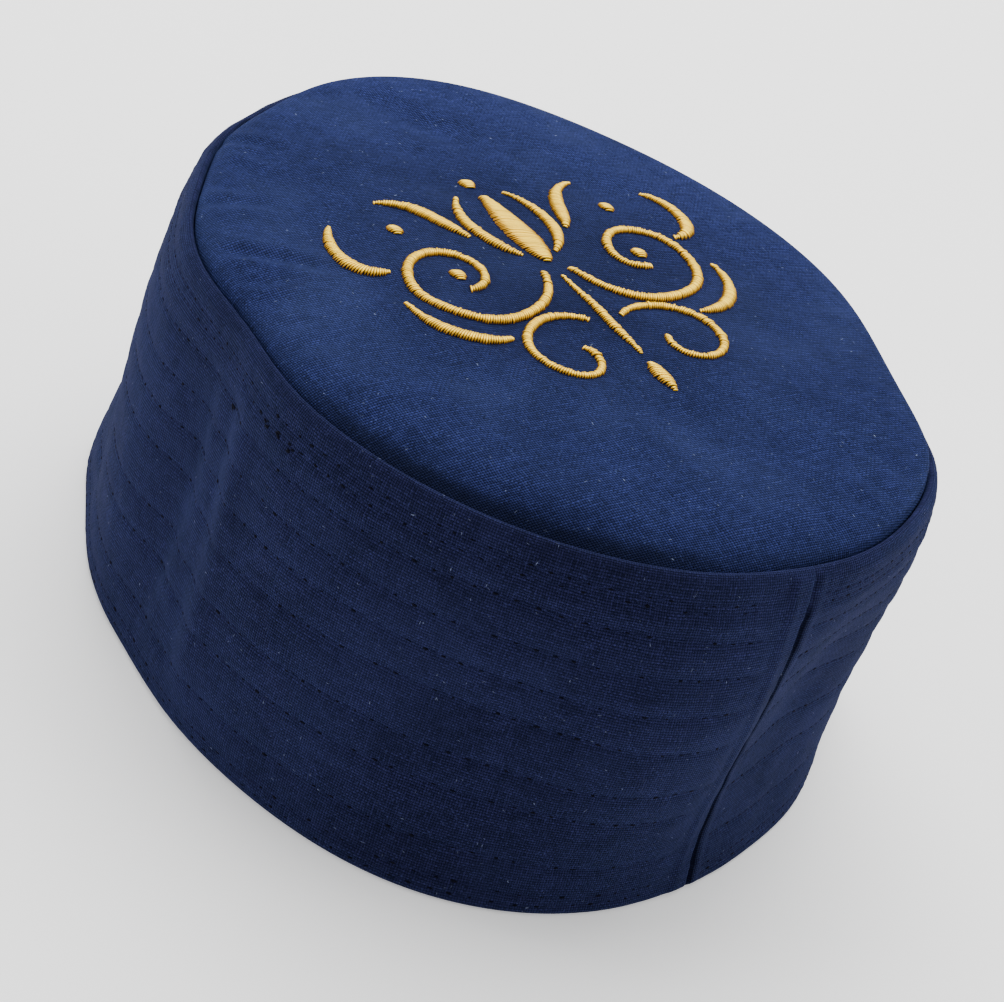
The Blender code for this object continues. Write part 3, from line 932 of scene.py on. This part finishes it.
@dataclass
class Stitches:
    """Short sewn stitches that follow the cloth, with dark dents of painted shade where the thread goes in."""

    name: str
    thickness: float = 0.00042
    bow: float = 0.00014
    sides: int = 6
    spans: int = 4
    dent_sides: int = 10

    def template(self) -> tuple[np.ndarray, list[tuple[int, ...]]]:
        """Model one stitch of unit length along X, and read its points and faces."""
        Bench.clear()
        bpy.ops.mesh.primitive_cylinder_add(
            vertices=self.sides,
            radius=0.5,
            depth=1.0,
            end_fill_type="TRIFAN",
            rotation=(0.0, math.pi / 2, 0.0),
        )
        stitch = bpy.context.object
        Bench.settle(stitch)
        Bench.pick_edges(stitch, lambda a, b: abs(a.x - b.x) > 0.5)
        bpy.ops.mesh.subdivide(number_cuts=self.spans - 1)
        bpy.ops.object.mode_set(mode="OBJECT")
        points = Bench.points(stitch)
        faces = [tuple(face.vertices) for face in stitch.data.polygons]
        Bench.drop(stitch)
        points[:, 1:] *= (1.0 - (2.0 * np.abs(points[:, :1])) ** 4.0 * 0.75)
        return points, faces

    def dent(self) -> tuple[np.ndarray, list[tuple[int, ...]]]:
        """Model one dent, a low flat button of unit size that carries painted shade, and read its points and faces."""
        Bench.clear()
        bpy.ops.mesh.primitive_cone_add(vertices=self.dent_sides, radius1=0.5, radius2=0.3, depth=0.2)
        dent = bpy.context.object
        points = Bench.points(dent)
        faces = [tuple(face.vertices) for face in dent.data.polygons]
        Bench.drop(dent)
        return points, faces

    def lay(self, places: Sequence["StitchPlace"], dents: Sequence["StitchPlace"], seed: int) -> bpy.types.Object:
        """Copy the stitch and the dent to their places, in one joined mesh.

        Args:
            places: Where each stitch starts and ends, and the cloth's normal there.
            dents: The same of each dent.
            seed: What the small differences between stitches follow.

        Returns:
            The joined stitches.
        """
        chance = np.random.default_rng(seed)
        points, faces, strands, edges = [], [], [], []
        count = 0
        shapes = ((places, self.template(), 0.0), (dents, self.dent(), 1.0))
        for spots, (unit, unit_faces), dark in shapes:
            for place in spots:
                along, side, up, reach = place.axes()
                width = place.width * chance.uniform(0.85, 1.15)
                if dark:
                    height = unit[:, 2] * 0.0006 + 0.00003
                else:
                    arch = self.bow * (1.0 - (2.0 * unit[:, 0]) ** 2) - 0.45 * width + 0.25 * self.bow
                    height = unit[:, 2] * width * 0.8 + arch
                middle = np.array((place.start + place.end) / 2)
                spot = middle + np.outer(unit[:, 0] * reach, along) + np.outer(unit[:, 1] * width, side)
                points.append(spot + np.outer(height, up))
                faces += [tuple(count + corner for corner in face) for face in unit_faces]
                count += len(unit)
                strands.append(np.full(len(unit), chance.uniform()))
                # Dents get an edge of 1, which paints them in the shade colour: painted shade in the needle holes.
                edges.append(np.full(len(unit), dark))
        marks = {"strand": np.concatenate(strands), "edge": np.concatenate(edges)}
        return joined_mesh(self.name, np.concatenate(points), faces, marks)


@dataclass(frozen=True)
class StitchPlace:
    """Where a stitch or a dent lies on the cloth."""

    start: Vector
    end: Vector
    normal: Vector
    width: float

    def axes(self) -> tuple[np.ndarray, np.ndarray, np.ndarray, float]:
        """The directions along, beside and above, and the length."""
        along = np.array(self.end - self.start)
        reach = float(np.linalg.norm(along))
        along /= reach
        up = np.array(self.normal) - along * np.dot(np.array(self.normal), along)
        up /= np.linalg.norm(up)
        return along, np.cross(up, along), up, reach


def joined_mesh(name: str, points: np.ndarray, faces: list[tuple[int, ...]], marks: dict[str, np.ndarray]) -> bpy.types.Object:
    """Many small things as one mesh.

    Args:
        name: The piece's name.
        points: A row for each point.
        faces: The corners of each face.
        marks: Numbers kept for each point, by name.

    Returns:
        The new object.
    """
    mesh = bpy.data.meshes.new(name)
    mesh.from_pydata(points.tolist(), [], faces)
    mesh.update()
    obj = bpy.data.objects.new(name, mesh)
    for mark, numbers in marks.items():
        Bench.mark(obj, mark, numbers)
    bpy.context.scene.collection.objects.link(obj)
    return obj


@dataclass
class BandStitching:
    """The rows of running stitches on the band, with their dents, and a few knots of three dents each."""

    band: QuiltedBand
    thread: float = 0.00042
    dent_width: float = 0.00056
    missing_dents: float = 0.10
    knots: tuple = ((8.8, 0.0795), (11.9, 0.0799), (15.0, 0.0792), (359.0, 0.0733))

    def build(self, material: bpy.types.Material) -> bpy.types.Object:
        """Lay every row and dress it."""
        surface = Bench.surface(self.band.piece)
        chance = np.random.default_rng(21)
        places = []
        dents = []
        for row in self.band.rows:
            self._row(row, surface, chance, places, dents)
        for angle, height in self.knots:
            for _ in range(3):
                turned = math.radians(angle + chance.uniform(-0.5, 0.5))
                spot, normal = self._on_band(turned, height + chance.uniform(-0.0005, 0.0005), surface)
                run = Vector((-math.sin(turned), math.cos(turned), chance.uniform(-0.8, 0.8))) * 0.0007
                dents.append(StitchPlace(spot - run, spot + run, normal, 0.0006))
        stitches = Stitches("quilting_stitches", self.thread).lay(places, dents, 5)
        finish_piece(stitches, material)
        return stitches

    def _row(self, row: SewnRow, surface: BVHTree, chance: np.random.Generator, places: list, dents: list) -> None:
        """The places of one row's stitches and dents."""
        pitch = row.length + row.space
        along = self.band.seam_plain
        last = self.band.around - self.band.seam_turned
        before = None
        while along < last - pitch:
            step = pitch * chance.uniform(0.86, 1.14)
            start = self._spot(row, along, surface, chance)
            end = self._spot(row, along + step - row.space, surface, chance)
            normal = (start[1] + end[1]).normalized()
            places.append(StitchPlace(start[0], end[0], normal, self.thread))
            if before is not None and chance.uniform() > self.missing_dents:
                width = self.dent_width * chance.uniform(0.45, 1.4)
                first, last_share = chance.uniform(0.0, 0.35), chance.uniform(0.65, 1.0)
                dents.append(StitchPlace(before.lerp(start[0], first), before.lerp(start[0], last_share), normal, width))
            before = end[0]
            along += step

    def _spot(self, row: SewnRow, along: float, surface: BVHTree, chance: np.random.Generator) -> tuple:
        """A place on the band's outer face, a length along from the back seam."""
        angle = math.radians(BACK_SEAM + 360.0 * along / self.band.around)
        around = float(self.band.arc(np.array([math.degrees(angle) % 360.0]))[0])
        height = row.height + float(self.band.sway(row, around)) + chance.normal(0.0, 0.00008)
        return self._on_band(angle, height, surface)

    def _on_band(self, angle: float, height: float, surface: BVHTree) -> tuple[Vector, Vector]:
        """The place and the normal of the band's outer face at a plan angle in radians and a height."""
        out = Vector((math.cos(angle), math.sin(angle), 0.0))
        origin = self.band.middle + out * self.band.start_radius + Vector((0.0, 0.0, height))
        spot, normal, _, _ = surface.ray_cast(origin, -out)
        return spot, normal


@dataclass
class CrownPanel:
    """The oval top: domed cloth with a rounded shoulder and an edge turned down inside the band."""

    band: QuiltedBand
    columns: int = 420
    rings: int = 56
    thickness: float = 0.0013
    start_radius: float = 0.130
    clearance: float = 0.020
    snug: float = 0.00055
    snug_reach: float = 0.0050
    droop_reach: float = 0.0060
    bulge_reach: float = 0.0018
    piece: bpy.types.Object = field(default=None, repr=False)
    ripple: Ripple = field(default_factory=lambda: Ripple(17, 0.024))
    fine_ripple: Ripple = field(default_factory=lambda: Ripple(29, 0.0075))

    def build(self, material: bpy.types.Material) -> bpy.types.Object:
        """Fit the cloth over the crown's form and dress it."""
        form = Bench.smooth_form("crown_panel", 2)
        crown = self._turned_edge(form)
        self._fill(crown)
        self._drop_on(crown, form)
        Bench.drop(form)
        self._shape_rim(crown)
        self._lay_out(crown)
        self._pucker(crown)
        Bench.modify(crown, "SOLIDIFY", thickness=self.thickness, offset=-1.0, use_rim=True)
        finish_piece(crown, material, ["crown_panel"])
        self.piece = crown
        return crown

    def _turned_edge(self, form: bpy.types.Object) -> bpy.types.Object:
        """The turned-down edge: a low cylinder closed on the form from outside."""
        low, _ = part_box("crown_panel")
        self.seam_level = self.band.wall_height + 0.0001
        depth = self.seam_level - low.z - 0.0004
        bpy.ops.object.select_all(action="DESELECT")
        bpy.ops.mesh.primitive_cylinder_add(
            vertices=self.columns,
            radius=self.start_radius,
            depth=depth,
            end_fill_type="NOTHING",
            location=(self.band.middle_x, self.band.middle_y, self.seam_level - depth / 2),
        )
        crown = bpy.context.object
        crown.name = "crown_cloth"
        crown.data.name = "crown_cloth"
        Bench.settle(crown)
        Bench.pick_edges(crown, lambda a, b: abs(a.z - b.z) > MILLIMETRE)
        bpy.ops.mesh.subdivide(number_cuts=2)
        bpy.ops.object.mode_set(mode="OBJECT")
        Bench.modify(
            crown,
            "SHRINKWRAP",
            target=form,
            wrap_method="PROJECT",
            use_negative_direction=True,
            use_positive_direction=False,
        )
        return crown

    def _fill(self, crown: bpy.types.Object) -> None:
        """Draw the upper edge in to the middle, ring by ring, and close it there."""
        level = self.seam_level
        Bench.pick_edges(crown, lambda a, b: min(a.z, b.z) > level - 0.0001)
        shares = [math.cos(math.pi / 2 * ring / self.rings) for ring in range(self.rings)]
        for before, after in zip(shares, shares[1:]):
            climb = self.clearance if before == 1.0 else 0.0
            bpy.ops.mesh.extrude_edges_move(TRANSFORM_OT_translate={"value": (0.0, 0.0, climb)})
            share = after / before
            bpy.ops.transform.resize(value=(share, share, 1.0), center_override=self.band.middle)
        bpy.ops.mesh.extrude_edges_move()
        bpy.ops.mesh.merge(type="CENTER")
        bpy.ops.mesh.select_all(action="SELECT")
        bpy.ops.mesh.normals_make_consistent(inside=False)
        bpy.ops.object.mode_set(mode="OBJECT")

    def _drop_on(self, crown: bpy.types.Object, form: bpy.types.Object) -> None:
        """Let the rings fall straight down onto the form."""
        heights = Bench.points(crown)[:, 2]
        Bench.weigh(crown, "dome", (heights > self.seam_level + 0.0001).astype(float))
        Bench.take(crown)
        Bench.modify(
            crown,
            "SHRINKWRAP",
            target=form,
            wrap_method="PROJECT",
            use_project_z=True,
            use_negative_direction=True,
            use_positive_direction=False,
            vertex_group="dome",
        )
        crown.vertex_groups.clear()

    def _shape_rim(self, crown: bpy.types.Object) -> None:
        """Press the shoulder against the lip, and let it swell over the lip at the far side."""
        points = Bench.points(crown)
        angles, radii = self.band.polar(points)
        rim = np.interp(angles, *self._rim(points, angles, radii), period=360.0)
        inset = np.clip(rim - radii, 0.0, None)
        share = inset / self.bulge_reach
        push = self.snug * np.exp(-inset / self.snug_reach)
        push += rim_value("bulge", angles) * share * np.exp(1.0 - share)
        out = (points - np.array(self.band.middle)) * [1.0, 1.0, 0.0] / np.maximum(radii, 0.001)[:, None]
        above = soft_step(points[:, 2], self.seam_level - 0.0030, self.seam_level)
        points += out * (push * above)[:, None]
        falling = soft_step(points[:, 2], self.seam_level - 0.0090, self.seam_level)
        points[:, 2] -= rim_value("droop", angles) * falling * np.exp(-((inset / self.droop_reach) ** 2))
        Bench.move(crown, points)

    def _lay_out(self, crown: bpy.types.Object) -> None:
        """Give the cloth a flat layout in metres, unrolled from its middle."""
        points = Bench.points(crown)
        angles, radii = self.band.polar(points)
        drop = np.clip(self.band.wall_height + 0.0036 - points[:, 2], 0.0, None)
        reach = radii + 0.8 * drop
        flat = np.stack([reach * np.cos(np.radians(angles)), reach * np.sin(np.radians(angles))], axis=1)
        Bench.lay_flat(crown, flat[Bench.corners(crown)])

    def _pucker(self, crown: bpy.types.Object) -> None:
        """Soft waves over the cloth, small gathers where it meets the seam, and painted shading and tone."""
        points = Bench.points(crown)
        angles, radii = self.band.polar(points)
        rim = np.interp(angles, *self._rim(points, angles, radii), period=360.0)
        inset = rim - radii
        x, y = points[:, 0], points[:, 1]
        relief = 0.00035 * self.ripple.at(x, y) * soft_step(inset, 0.004, 0.020)
        gathers = self.fine_ripple.at(np.radians(angles) * 0.085, inset * 0.15)
        relief += 0.00025 * gathers * soft_step(inset, 0.0010, 0.0040) * (1.0 - soft_step(inset, 0.006, 0.017))
        for crease in CREASES:
            relief += crease.height(x, y)
        above = points[:, 2] > self.seam_level + 0.0002
        Bench.relieve(crown, "crown", np.where(above, relief, 0.0))
        # A darker tone round the middle, painted shade where the crown dips behind the lip at the seam, and painted
        # light towards the far side.
        away = np.hypot(x + 0.002, y + 0.004)
        valley = rim_value("droop", angles) / 0.0042
        painted_seam_shade = 1.0 - soft_step(inset, 0.0010 + 0.0013 * valley, 0.0020 + 0.0040 * valley)
        tone = 0.42 * bell(away, 0.044) + 0.74 * soft_step(valley, 0.05, 0.80) * painted_seam_shade
        # Painted light: the far side, towards -X and -Y, is lighter.
        tone -= 0.26 * soft_step(-(x + y), 0.020, 0.105)
        Bench.mark(crown, "painted_shading_and_tone", tone)

    @staticmethod
    def _rim(points: np.ndarray, angles: np.ndarray, radii: np.ndarray) -> tuple[np.ndarray, np.ndarray]:
        """The seam's plan radius at each angle, from the cloth's lowest ring."""
        lowest = points[:, 2] < points[:, 2].min() + 0.0002
        order = np.argsort(angles[lowest])
        return angles[lowest][order], radii[lowest][order]


@dataclass(frozen=True)
class Crease:
    """A soft straight crease in the crown's cloth."""

    start: tuple[float, float]
    end: tuple[float, float]
    width: float
    depth: float

    def height(self, x: np.ndarray, y: np.ndarray) -> np.ndarray:
        """How far the crease raises or sinks the cloth at places in metres."""
        start = np.array(self.start)
        run = np.array(self.end) - start
        length = np.linalg.norm(run)
        run = run / length
        along = (x - start[0]) * run[0] + (y - start[1]) * run[1]
        across = -(x - start[0]) * run[1] + (y - start[1]) * run[0]
        ends = soft_step(along, -self.width, self.width) * (1.0 - soft_step(along, 0.6 * length, length + self.width))
        return -self.depth * ends * (bell(across, self.width) - 0.5 * bell(np.abs(across) - 2 * self.width, self.width))


CREASES = (
    Crease((0.045, -0.073), (0.037, -0.066), width=0.0016, depth=0.0005),
    Crease((0.063, -0.049), (0.047, -0.042), width=0.0018, depth=0.0006),
    Crease((0.069, -0.031), (0.047, -0.015), width=0.0020, depth=0.0006),
    Crease((0.000, -0.086), (-0.016, -0.054), width=0.0045, depth=0.0007),
)


@dataclass(frozen=True)
class Stroke:
    """One satin stroke of the ornament: its line and its half widths along it, in metres."""

    node: str
    line: np.ndarray
    half_widths: np.ndarray


@dataclass
class GoldEmbroidery:
    """The raised satin ornament on the crown, one piece for each stroke."""

    crown: CrownPanel
    half_width: float = 0.0500
    middle_x: float = -0.0021
    middle_y: float = -0.0059
    stroke_width: float = 0.0030
    bud_width: float = 0.0080
    dot_width: float = 0.0032
    relief: float = 0.00080
    pitch: float = 0.00056
    thread: float = 0.00050
    overhang: float = 0.00022
    end_slope: float = 0.0020
    groove_shade: float = 0.85
    slant: float = 0.30
    tip_share: float = 0.16
    start_share: float = 0.50
    eye_share: float = 0.65
    full_at: float = 0.125
    leaf_balance: float = 0.85
    stem_share: float = 0.65
    drop_share: float = 1.15

    scrolls: tuple = (
        ("scroll", 0.51, 0.04, 186, 630, 0.44, 0.10, 0.80),
        ("base_scroll", 0.31, -0.60, 136, -215, 0.31, 0.085, 0.65),
    )
    leaves: tuple = (
        ("sepal", ((0.09, 0.13), (0.19, 0.26), (0.215, 0.44), (0.13, 0.62)), 0.95),
        ("crest_leaf", ((0.27, 0.30), (0.33, 0.42), (0.40, 0.56), (0.56, 0.66)), 1.10),
        ("wing_leaf", ((0.80, 0.14), (0.93, 0.20), (0.96, 0.35), (0.88, 0.52)), 1.10),
        ("under_leaf", ((0.52, -0.42), (0.68, -0.40), (0.81, -0.28), (0.86, -0.08)), 1.00),
    )
    dots: tuple = (("scroll_eye", 0.51, 0.04), ("side_dot", 0.60, 0.42))
    top_dot: tuple = ("top_dot", 0.0, 0.72)
    middle_leaves: tuple = (
        ("bud", ((0.0, 0.06), (0.0, 0.22), (0.0, 0.40), (0.0, 0.60))),
        ("stem", ((0.0, -0.66), (0.0, -0.46), (0.0, -0.26), (0.0, -0.05))),
        ("drop", ((0.0, -0.72), (0.0, -0.79), (0.0, -0.86), (0.0, -0.92))),
    )

    def build(self, material: bpy.types.Material) -> list[bpy.types.Object]:
        """Lay every stroke's threads and dress them."""
        surface = Bench.surface(self.crown.piece)
        pieces = []
        for seed, stroke in enumerate(self._strokes()):
            piece = self._satin(stroke, surface, seed)
            finish_piece(piece, material, [stroke.node])
            pieces.append(piece)
        return pieces

    def _strokes(self) -> list[Stroke]:
        """Every stroke of the ornament, mirrored pairs as two."""
        strokes = []
        widths = {"bud": self.bud_width, "stem": self.stroke_width * self.stem_share}
        widths["drop"] = self.stroke_width * self.drop_share
        for name, points in self.middle_leaves:
            strokes.append(self._leaf(name, points, widths[name], 1.0))
        strokes.append(self._dot(*self.top_dot, 1.0))
        for side, hand in ((1.0, "_right"), (-1.0, "_left")):
            for name, across, up, start, end, outer, inner, width in self.scrolls:
                steps = np.linspace(0.0, 1.0, 60)
                turns = np.radians(start + (end - start) * steps)
                reach = outer * (inner / outer) ** steps
                line = np.stack([across + reach * np.cos(turns), up + reach * np.sin(turns)], axis=1)
                opening = np.minimum(1.0, self.start_share + (1.0 - self.start_share) * steps / self.full_at)
                taper = 1.0 - (1.0 - self.eye_share) * steps
                half = self.stroke_width * width / 2 * opening * taper
                strokes.append(self._stroke(name + hand, line, half, side))
            for name, points, width in self.leaves:
                strokes.append(self._leaf(name + hand, points, self.stroke_width * width, side))
            for name, across, up in self.dots:
                strokes.append(self._dot(name + hand, across, up, side))
        return strokes

    def _stroke(self, name: str, line: np.ndarray, half: np.ndarray, side: float) -> Stroke:
        """A stroke from its line in shares of the ornament's half width."""
        return Stroke("embroidery_" + name, line * [side, 1.0] * self.half_width, half)

    def _leaf(self, name: str, points: tuple, width: float, side: float) -> Stroke:
        """A leaf-shaped stroke along a smooth curve through four points."""
        steps = np.linspace(0.0, 1.0, 40)
        knots = np.linspace(0.0, 1.0, len(points))
        row = np.array(points)
        line = np.stack([np.polyval(np.polyfit(knots, row[:, axis], 3), steps) for axis in (0, 1)], axis=1)
        full = np.sin(math.pi * steps**self.leaf_balance)
        return self._stroke(name, line, width / 2 * (self.tip_share + (1.0 - self.tip_share) * full), side)

    def _dot(self, name: str, across: float, up: float, side: float) -> Stroke:
        """A round dot, sewn across from one side to the other."""
        reach = self.dot_width / 2
        steps = np.linspace(-0.96, 0.96, 17)
        line = np.stack([np.full(17, across), up + steps * reach / self.half_width], axis=1)
        return self._stroke(name, line, reach * np.sqrt(1.0 - steps**2), side)

    def _satin(self, stroke: Stroke, surface: BVHTree, seed: int) -> bpy.types.Object:
        """Threads laid side by side across a stroke, over a padded bed.

        Args:
            stroke: The stroke's line and half widths.
            surface: The crown's cloth.
            seed: What the small differences between threads follow.

        Returns:
            The joined threads.
        """
        chance = np.random.default_rng(100 + seed)
        steps = np.linalg.norm(np.diff(stroke.line, axis=0), axis=1)
        marks = np.concatenate([[0.0], np.cumsum(steps)])
        count = max(8, int(marks[-1] / self.pitch))
        sides, spans = 6, 6
        ring = np.array([[math.cos(2 * math.pi * s / sides), math.sin(2 * math.pi * s / sides)] for s in range(sides)])
        points, faces, strands, edges = [], [], [], []
        for index in range(count):
            at = marks[-1] * (index + 0.5) / count
            spot = self._along(stroke.line, marks, at)
            ahead = self._along(stroke.line, marks, min(at + 0.0004, marks[-1]))
            behind = self._along(stroke.line, marks, max(at - 0.0004, 0.0))
            heading = (ahead - behind) / np.linalg.norm(ahead - behind)
            across = np.array([-heading[1], heading[0]]) + heading * self.slant
            across /= np.linalg.norm(across)
            half = float(np.interp(at, marks, stroke.half_widths)) + self.overhang + chance.normal(0.0, 0.00010)
            half = max(half, 0.0004)
            strand = chance.uniform()
            lift = chance.normal(0.0, 0.00003)
            from_end = min(1.0, min(at, marks[-1] - at) / self.end_slope)
            fullness = min(1.0, 0.15 + half / 0.0016) * math.sqrt(1.0 - (1.0 - from_end) ** 2)
            path = []
            for span in range(spans + 1):
                share = -1.0 + 2.0 * span / spans
                flat = spot + across * half * share
                path.append(self._on_crown(flat, surface, self._rise(share) * fullness + lift))
            first = sum(len(part) for part in points)
            path = np.array(path)
            tangents = np.gradient(path, axis=0)
            tangents /= np.linalg.norm(tangents, axis=1)[:, None]
            beside = np.cross(tangents, [0.0, 0.0, 1.0])
            beside /= np.linalg.norm(beside, axis=1)[:, None]
            over = np.cross(beside, tangents)
            for span in range(spans + 1):
                share = abs(-1.0 + 2.0 * span / spans)
                thick = self.thread / 2 * (1.0 - 0.45 * share**4)
                points.append(path[span] + np.outer(ring[:, 0] * thick * 1.12, beside[span]) + np.outer(ring[:, 1] * thick * 0.9, over[span]))
                strands.append(np.full(sides, strand))
                # Painted shade towards the stroke's edges and in the grooves between threads, by the edge attribute.
                edges.append(np.maximum(share, self.groove_shade * ring[:, 0] ** 2))
            for span in range(spans):
                for side in range(sides):
                    low = first + span * sides + side
                    low_next = first + span * sides + (side + 1) % sides
                    faces.append((low, low_next, low_next + sides, low + sides))
            faces.append(tuple(first + side for side in reversed(range(sides))))
            faces.append(tuple(first + spans * sides + side for side in range(sides)))
        flat_points = np.concatenate(points)
        marks_kept = {"strand": np.concatenate(strands), "edge": np.concatenate(edges)}
        piece = joined_mesh(stroke.node.replace("embroidery", "satin"), flat_points, faces, marks_kept)
        Bench.edit(piece)
        bpy.ops.mesh.select_all(action="SELECT")
        bpy.ops.mesh.normals_make_consistent(inside=False)
        bpy.ops.object.mode_set(mode="OBJECT")
        return piece

    @staticmethod
    def _along(line: np.ndarray, marks: np.ndarray, at: float) -> np.ndarray:
        """A place a length along a line."""
        return np.array([np.interp(at, marks, line[:, 0]), np.interp(at, marks, line[:, 1])])

    def _rise(self, share: float) -> float:
        """The height of a thread over the cloth at a share across its stroke."""
        return self.relief * math.sqrt(max(0.0, 1.0 - share**2)) + 0.00012

    def _on_crown(self, flat: np.ndarray, surface: BVHTree, rise: float) -> np.ndarray:
        """A place over the crown's cloth, from a place of the flat ornament."""
        x = self.middle_x - flat[0]
        y = self.middle_y - flat[1]
        spot, _, _, _ = surface.ray_cast(Vector((x, y, 0.2)), Vector((0.0, 0.0, -1.0)))
        return np.array([x, y, spot.z + rise])


@dataclass
class Studio:
    """The floor, the soft lights and the camera at the photograph's angle."""

    azimuth: float = 134.73
    elevation: float = 33.71
    roll: float = 18.86
    distance: float = 0.6426
    target: tuple[float, float, float] = (0.0011, 0.0048, 0.0376)
    focal_pixels: float = 2808.0
    picture_width: float = 1004.0
    sensor_width: float = 36.0
    floor_size: float = 6.0

    def build(self) -> None:
        """Set everything up."""
        self._floor()
        self._camera()
        self._lights()

    def _floor(self) -> None:
        """A wide sheet of pale paper under the cap."""
        Bench.clear()
        bpy.ops.mesh.primitive_plane_add(size=self.floor_size, location=(0.0, 0.0, 0.0))
        floor = bpy.context.object
        floor.name = "floor"
        floor.data.materials.append(PaperFloor().material())

    def _camera(self) -> None:
        """The camera, turned about its own axis as in the photograph."""
        azimuth, elevation, roll = (math.radians(angle) for angle in (self.azimuth, self.elevation, self.roll))
        back = Vector((math.sin(azimuth) * math.cos(elevation), -math.cos(azimuth) * math.cos(elevation), math.sin(elevation)))
        right = Vector((math.cos(azimuth), math.sin(azimuth), 0.0))
        up = back.cross(right)
        across = right * math.cos(roll) + up * math.sin(roll)
        upward = up * math.cos(roll) - right * math.sin(roll)
        camera = bpy.data.cameras.new("camera")
        camera.sensor_width = self.sensor_width
        camera.lens = self.focal_pixels / self.picture_width * self.sensor_width
        camera.clip_start = 0.01
        camera.clip_end = 20.0
        holder = bpy.data.objects.new("camera", camera)
        bpy.context.scene.collection.objects.link(holder)
        turn = Matrix((across, upward, back)).transposed().to_4x4()
        holder.matrix_world = Matrix.Translation(Vector(self.target) + back * self.distance) @ turn
        bpy.context.scene.camera = holder

    def _lights(self) -> None:
        """A broad light overhead, softer ones at the sides, and a pale room."""
        self._lamp("top_light", (-0.40, -0.50, 1.2), 1.3, 40.0)
        self._lamp("left_light", (1.2, -0.9, 0.45), 0.8, 11.0)
        self._lamp("right_light", (-0.9, 0.9, 0.50), 0.8, 6.0)
        world = bpy.data.worlds.new("room")
        world.use_nodes = True
        world.node_tree.nodes["Background"].inputs["Color"].default_value = (1.0, 1.0, 1.0, 1.0)
        world.node_tree.nodes["Background"].inputs["Strength"].default_value = 0.55
        bpy.context.scene.world = world

    @staticmethod
    def _lamp(name: str, place: tuple[float, float, float], size: float, power: float) -> None:
        """A square soft light that faces the cap."""
        light = bpy.data.lights.new(name, "AREA")
        light.shape = "SQUARE"
        light.size = size
        light.energy = power
        holder = bpy.data.objects.new(name, light)
        bpy.context.scene.collection.objects.link(holder)
        holder.location = place
        holder.rotation_euler = (-Vector(place)).to_track_quat("-Z", "Y").to_euler()


def main() -> None:
    """Build the dressed cap and its studio."""
    logging.basicConfig(level=logging.INFO, format="%(message)s")
    Studio().build()
    # Painted shade: the band's cloth is the crown's cloth in darker colours, as the upright band gets less light from
    # above.
    band_cloth = WovenCloth(
        "band_cloth",
        warp=(0.0122, 0.0126, 0.047, 1.0),
        weft=(0.0150, 0.0160, 0.058, 1.0),
        heather=(0.026, 0.031, 0.098, 1.0),
        lint=(0.16, 0.19, 0.30, 1.0),
    ).material()
    crown_cloth = WovenCloth(
        "crown_cloth",
        warp=(0.0150, 0.0205, 0.082, 1.0),
        weft=(0.0190, 0.0260, 0.102, 1.0),
    ).material()
    dark_thread = Thread(
        "quilting_thread",
        colour=(0.0100, 0.0122, 0.044, 1.0),
        # The near-black painted shade of the dents.
        shade_colour=(0.0019, 0.0022, 0.0066, 1.0),
        roughness=0.85,
        gloss=0.06,
    ).material()
    gold_thread = Thread(
        "gold_thread",
        colour=(1.0, 0.64, 0.022, 1.0),
        # The darker orange of painted shade at the stroke edges and between threads.
        shade_colour=(0.54, 0.25, 0.012, 1.0),
        roughness=0.42,
        gloss=0.30,
        metallic=0.35,
    ).material()
    band = QuiltedBand()
    band.build(band_cloth)
    stitches = BandStitching(band).build(dark_thread)
    crown = CrownPanel(band)
    crown.build(crown_cloth)
    satin = GoldEmbroidery(crown).build(gold_thread)


if __name__ == "__main__":
    main()
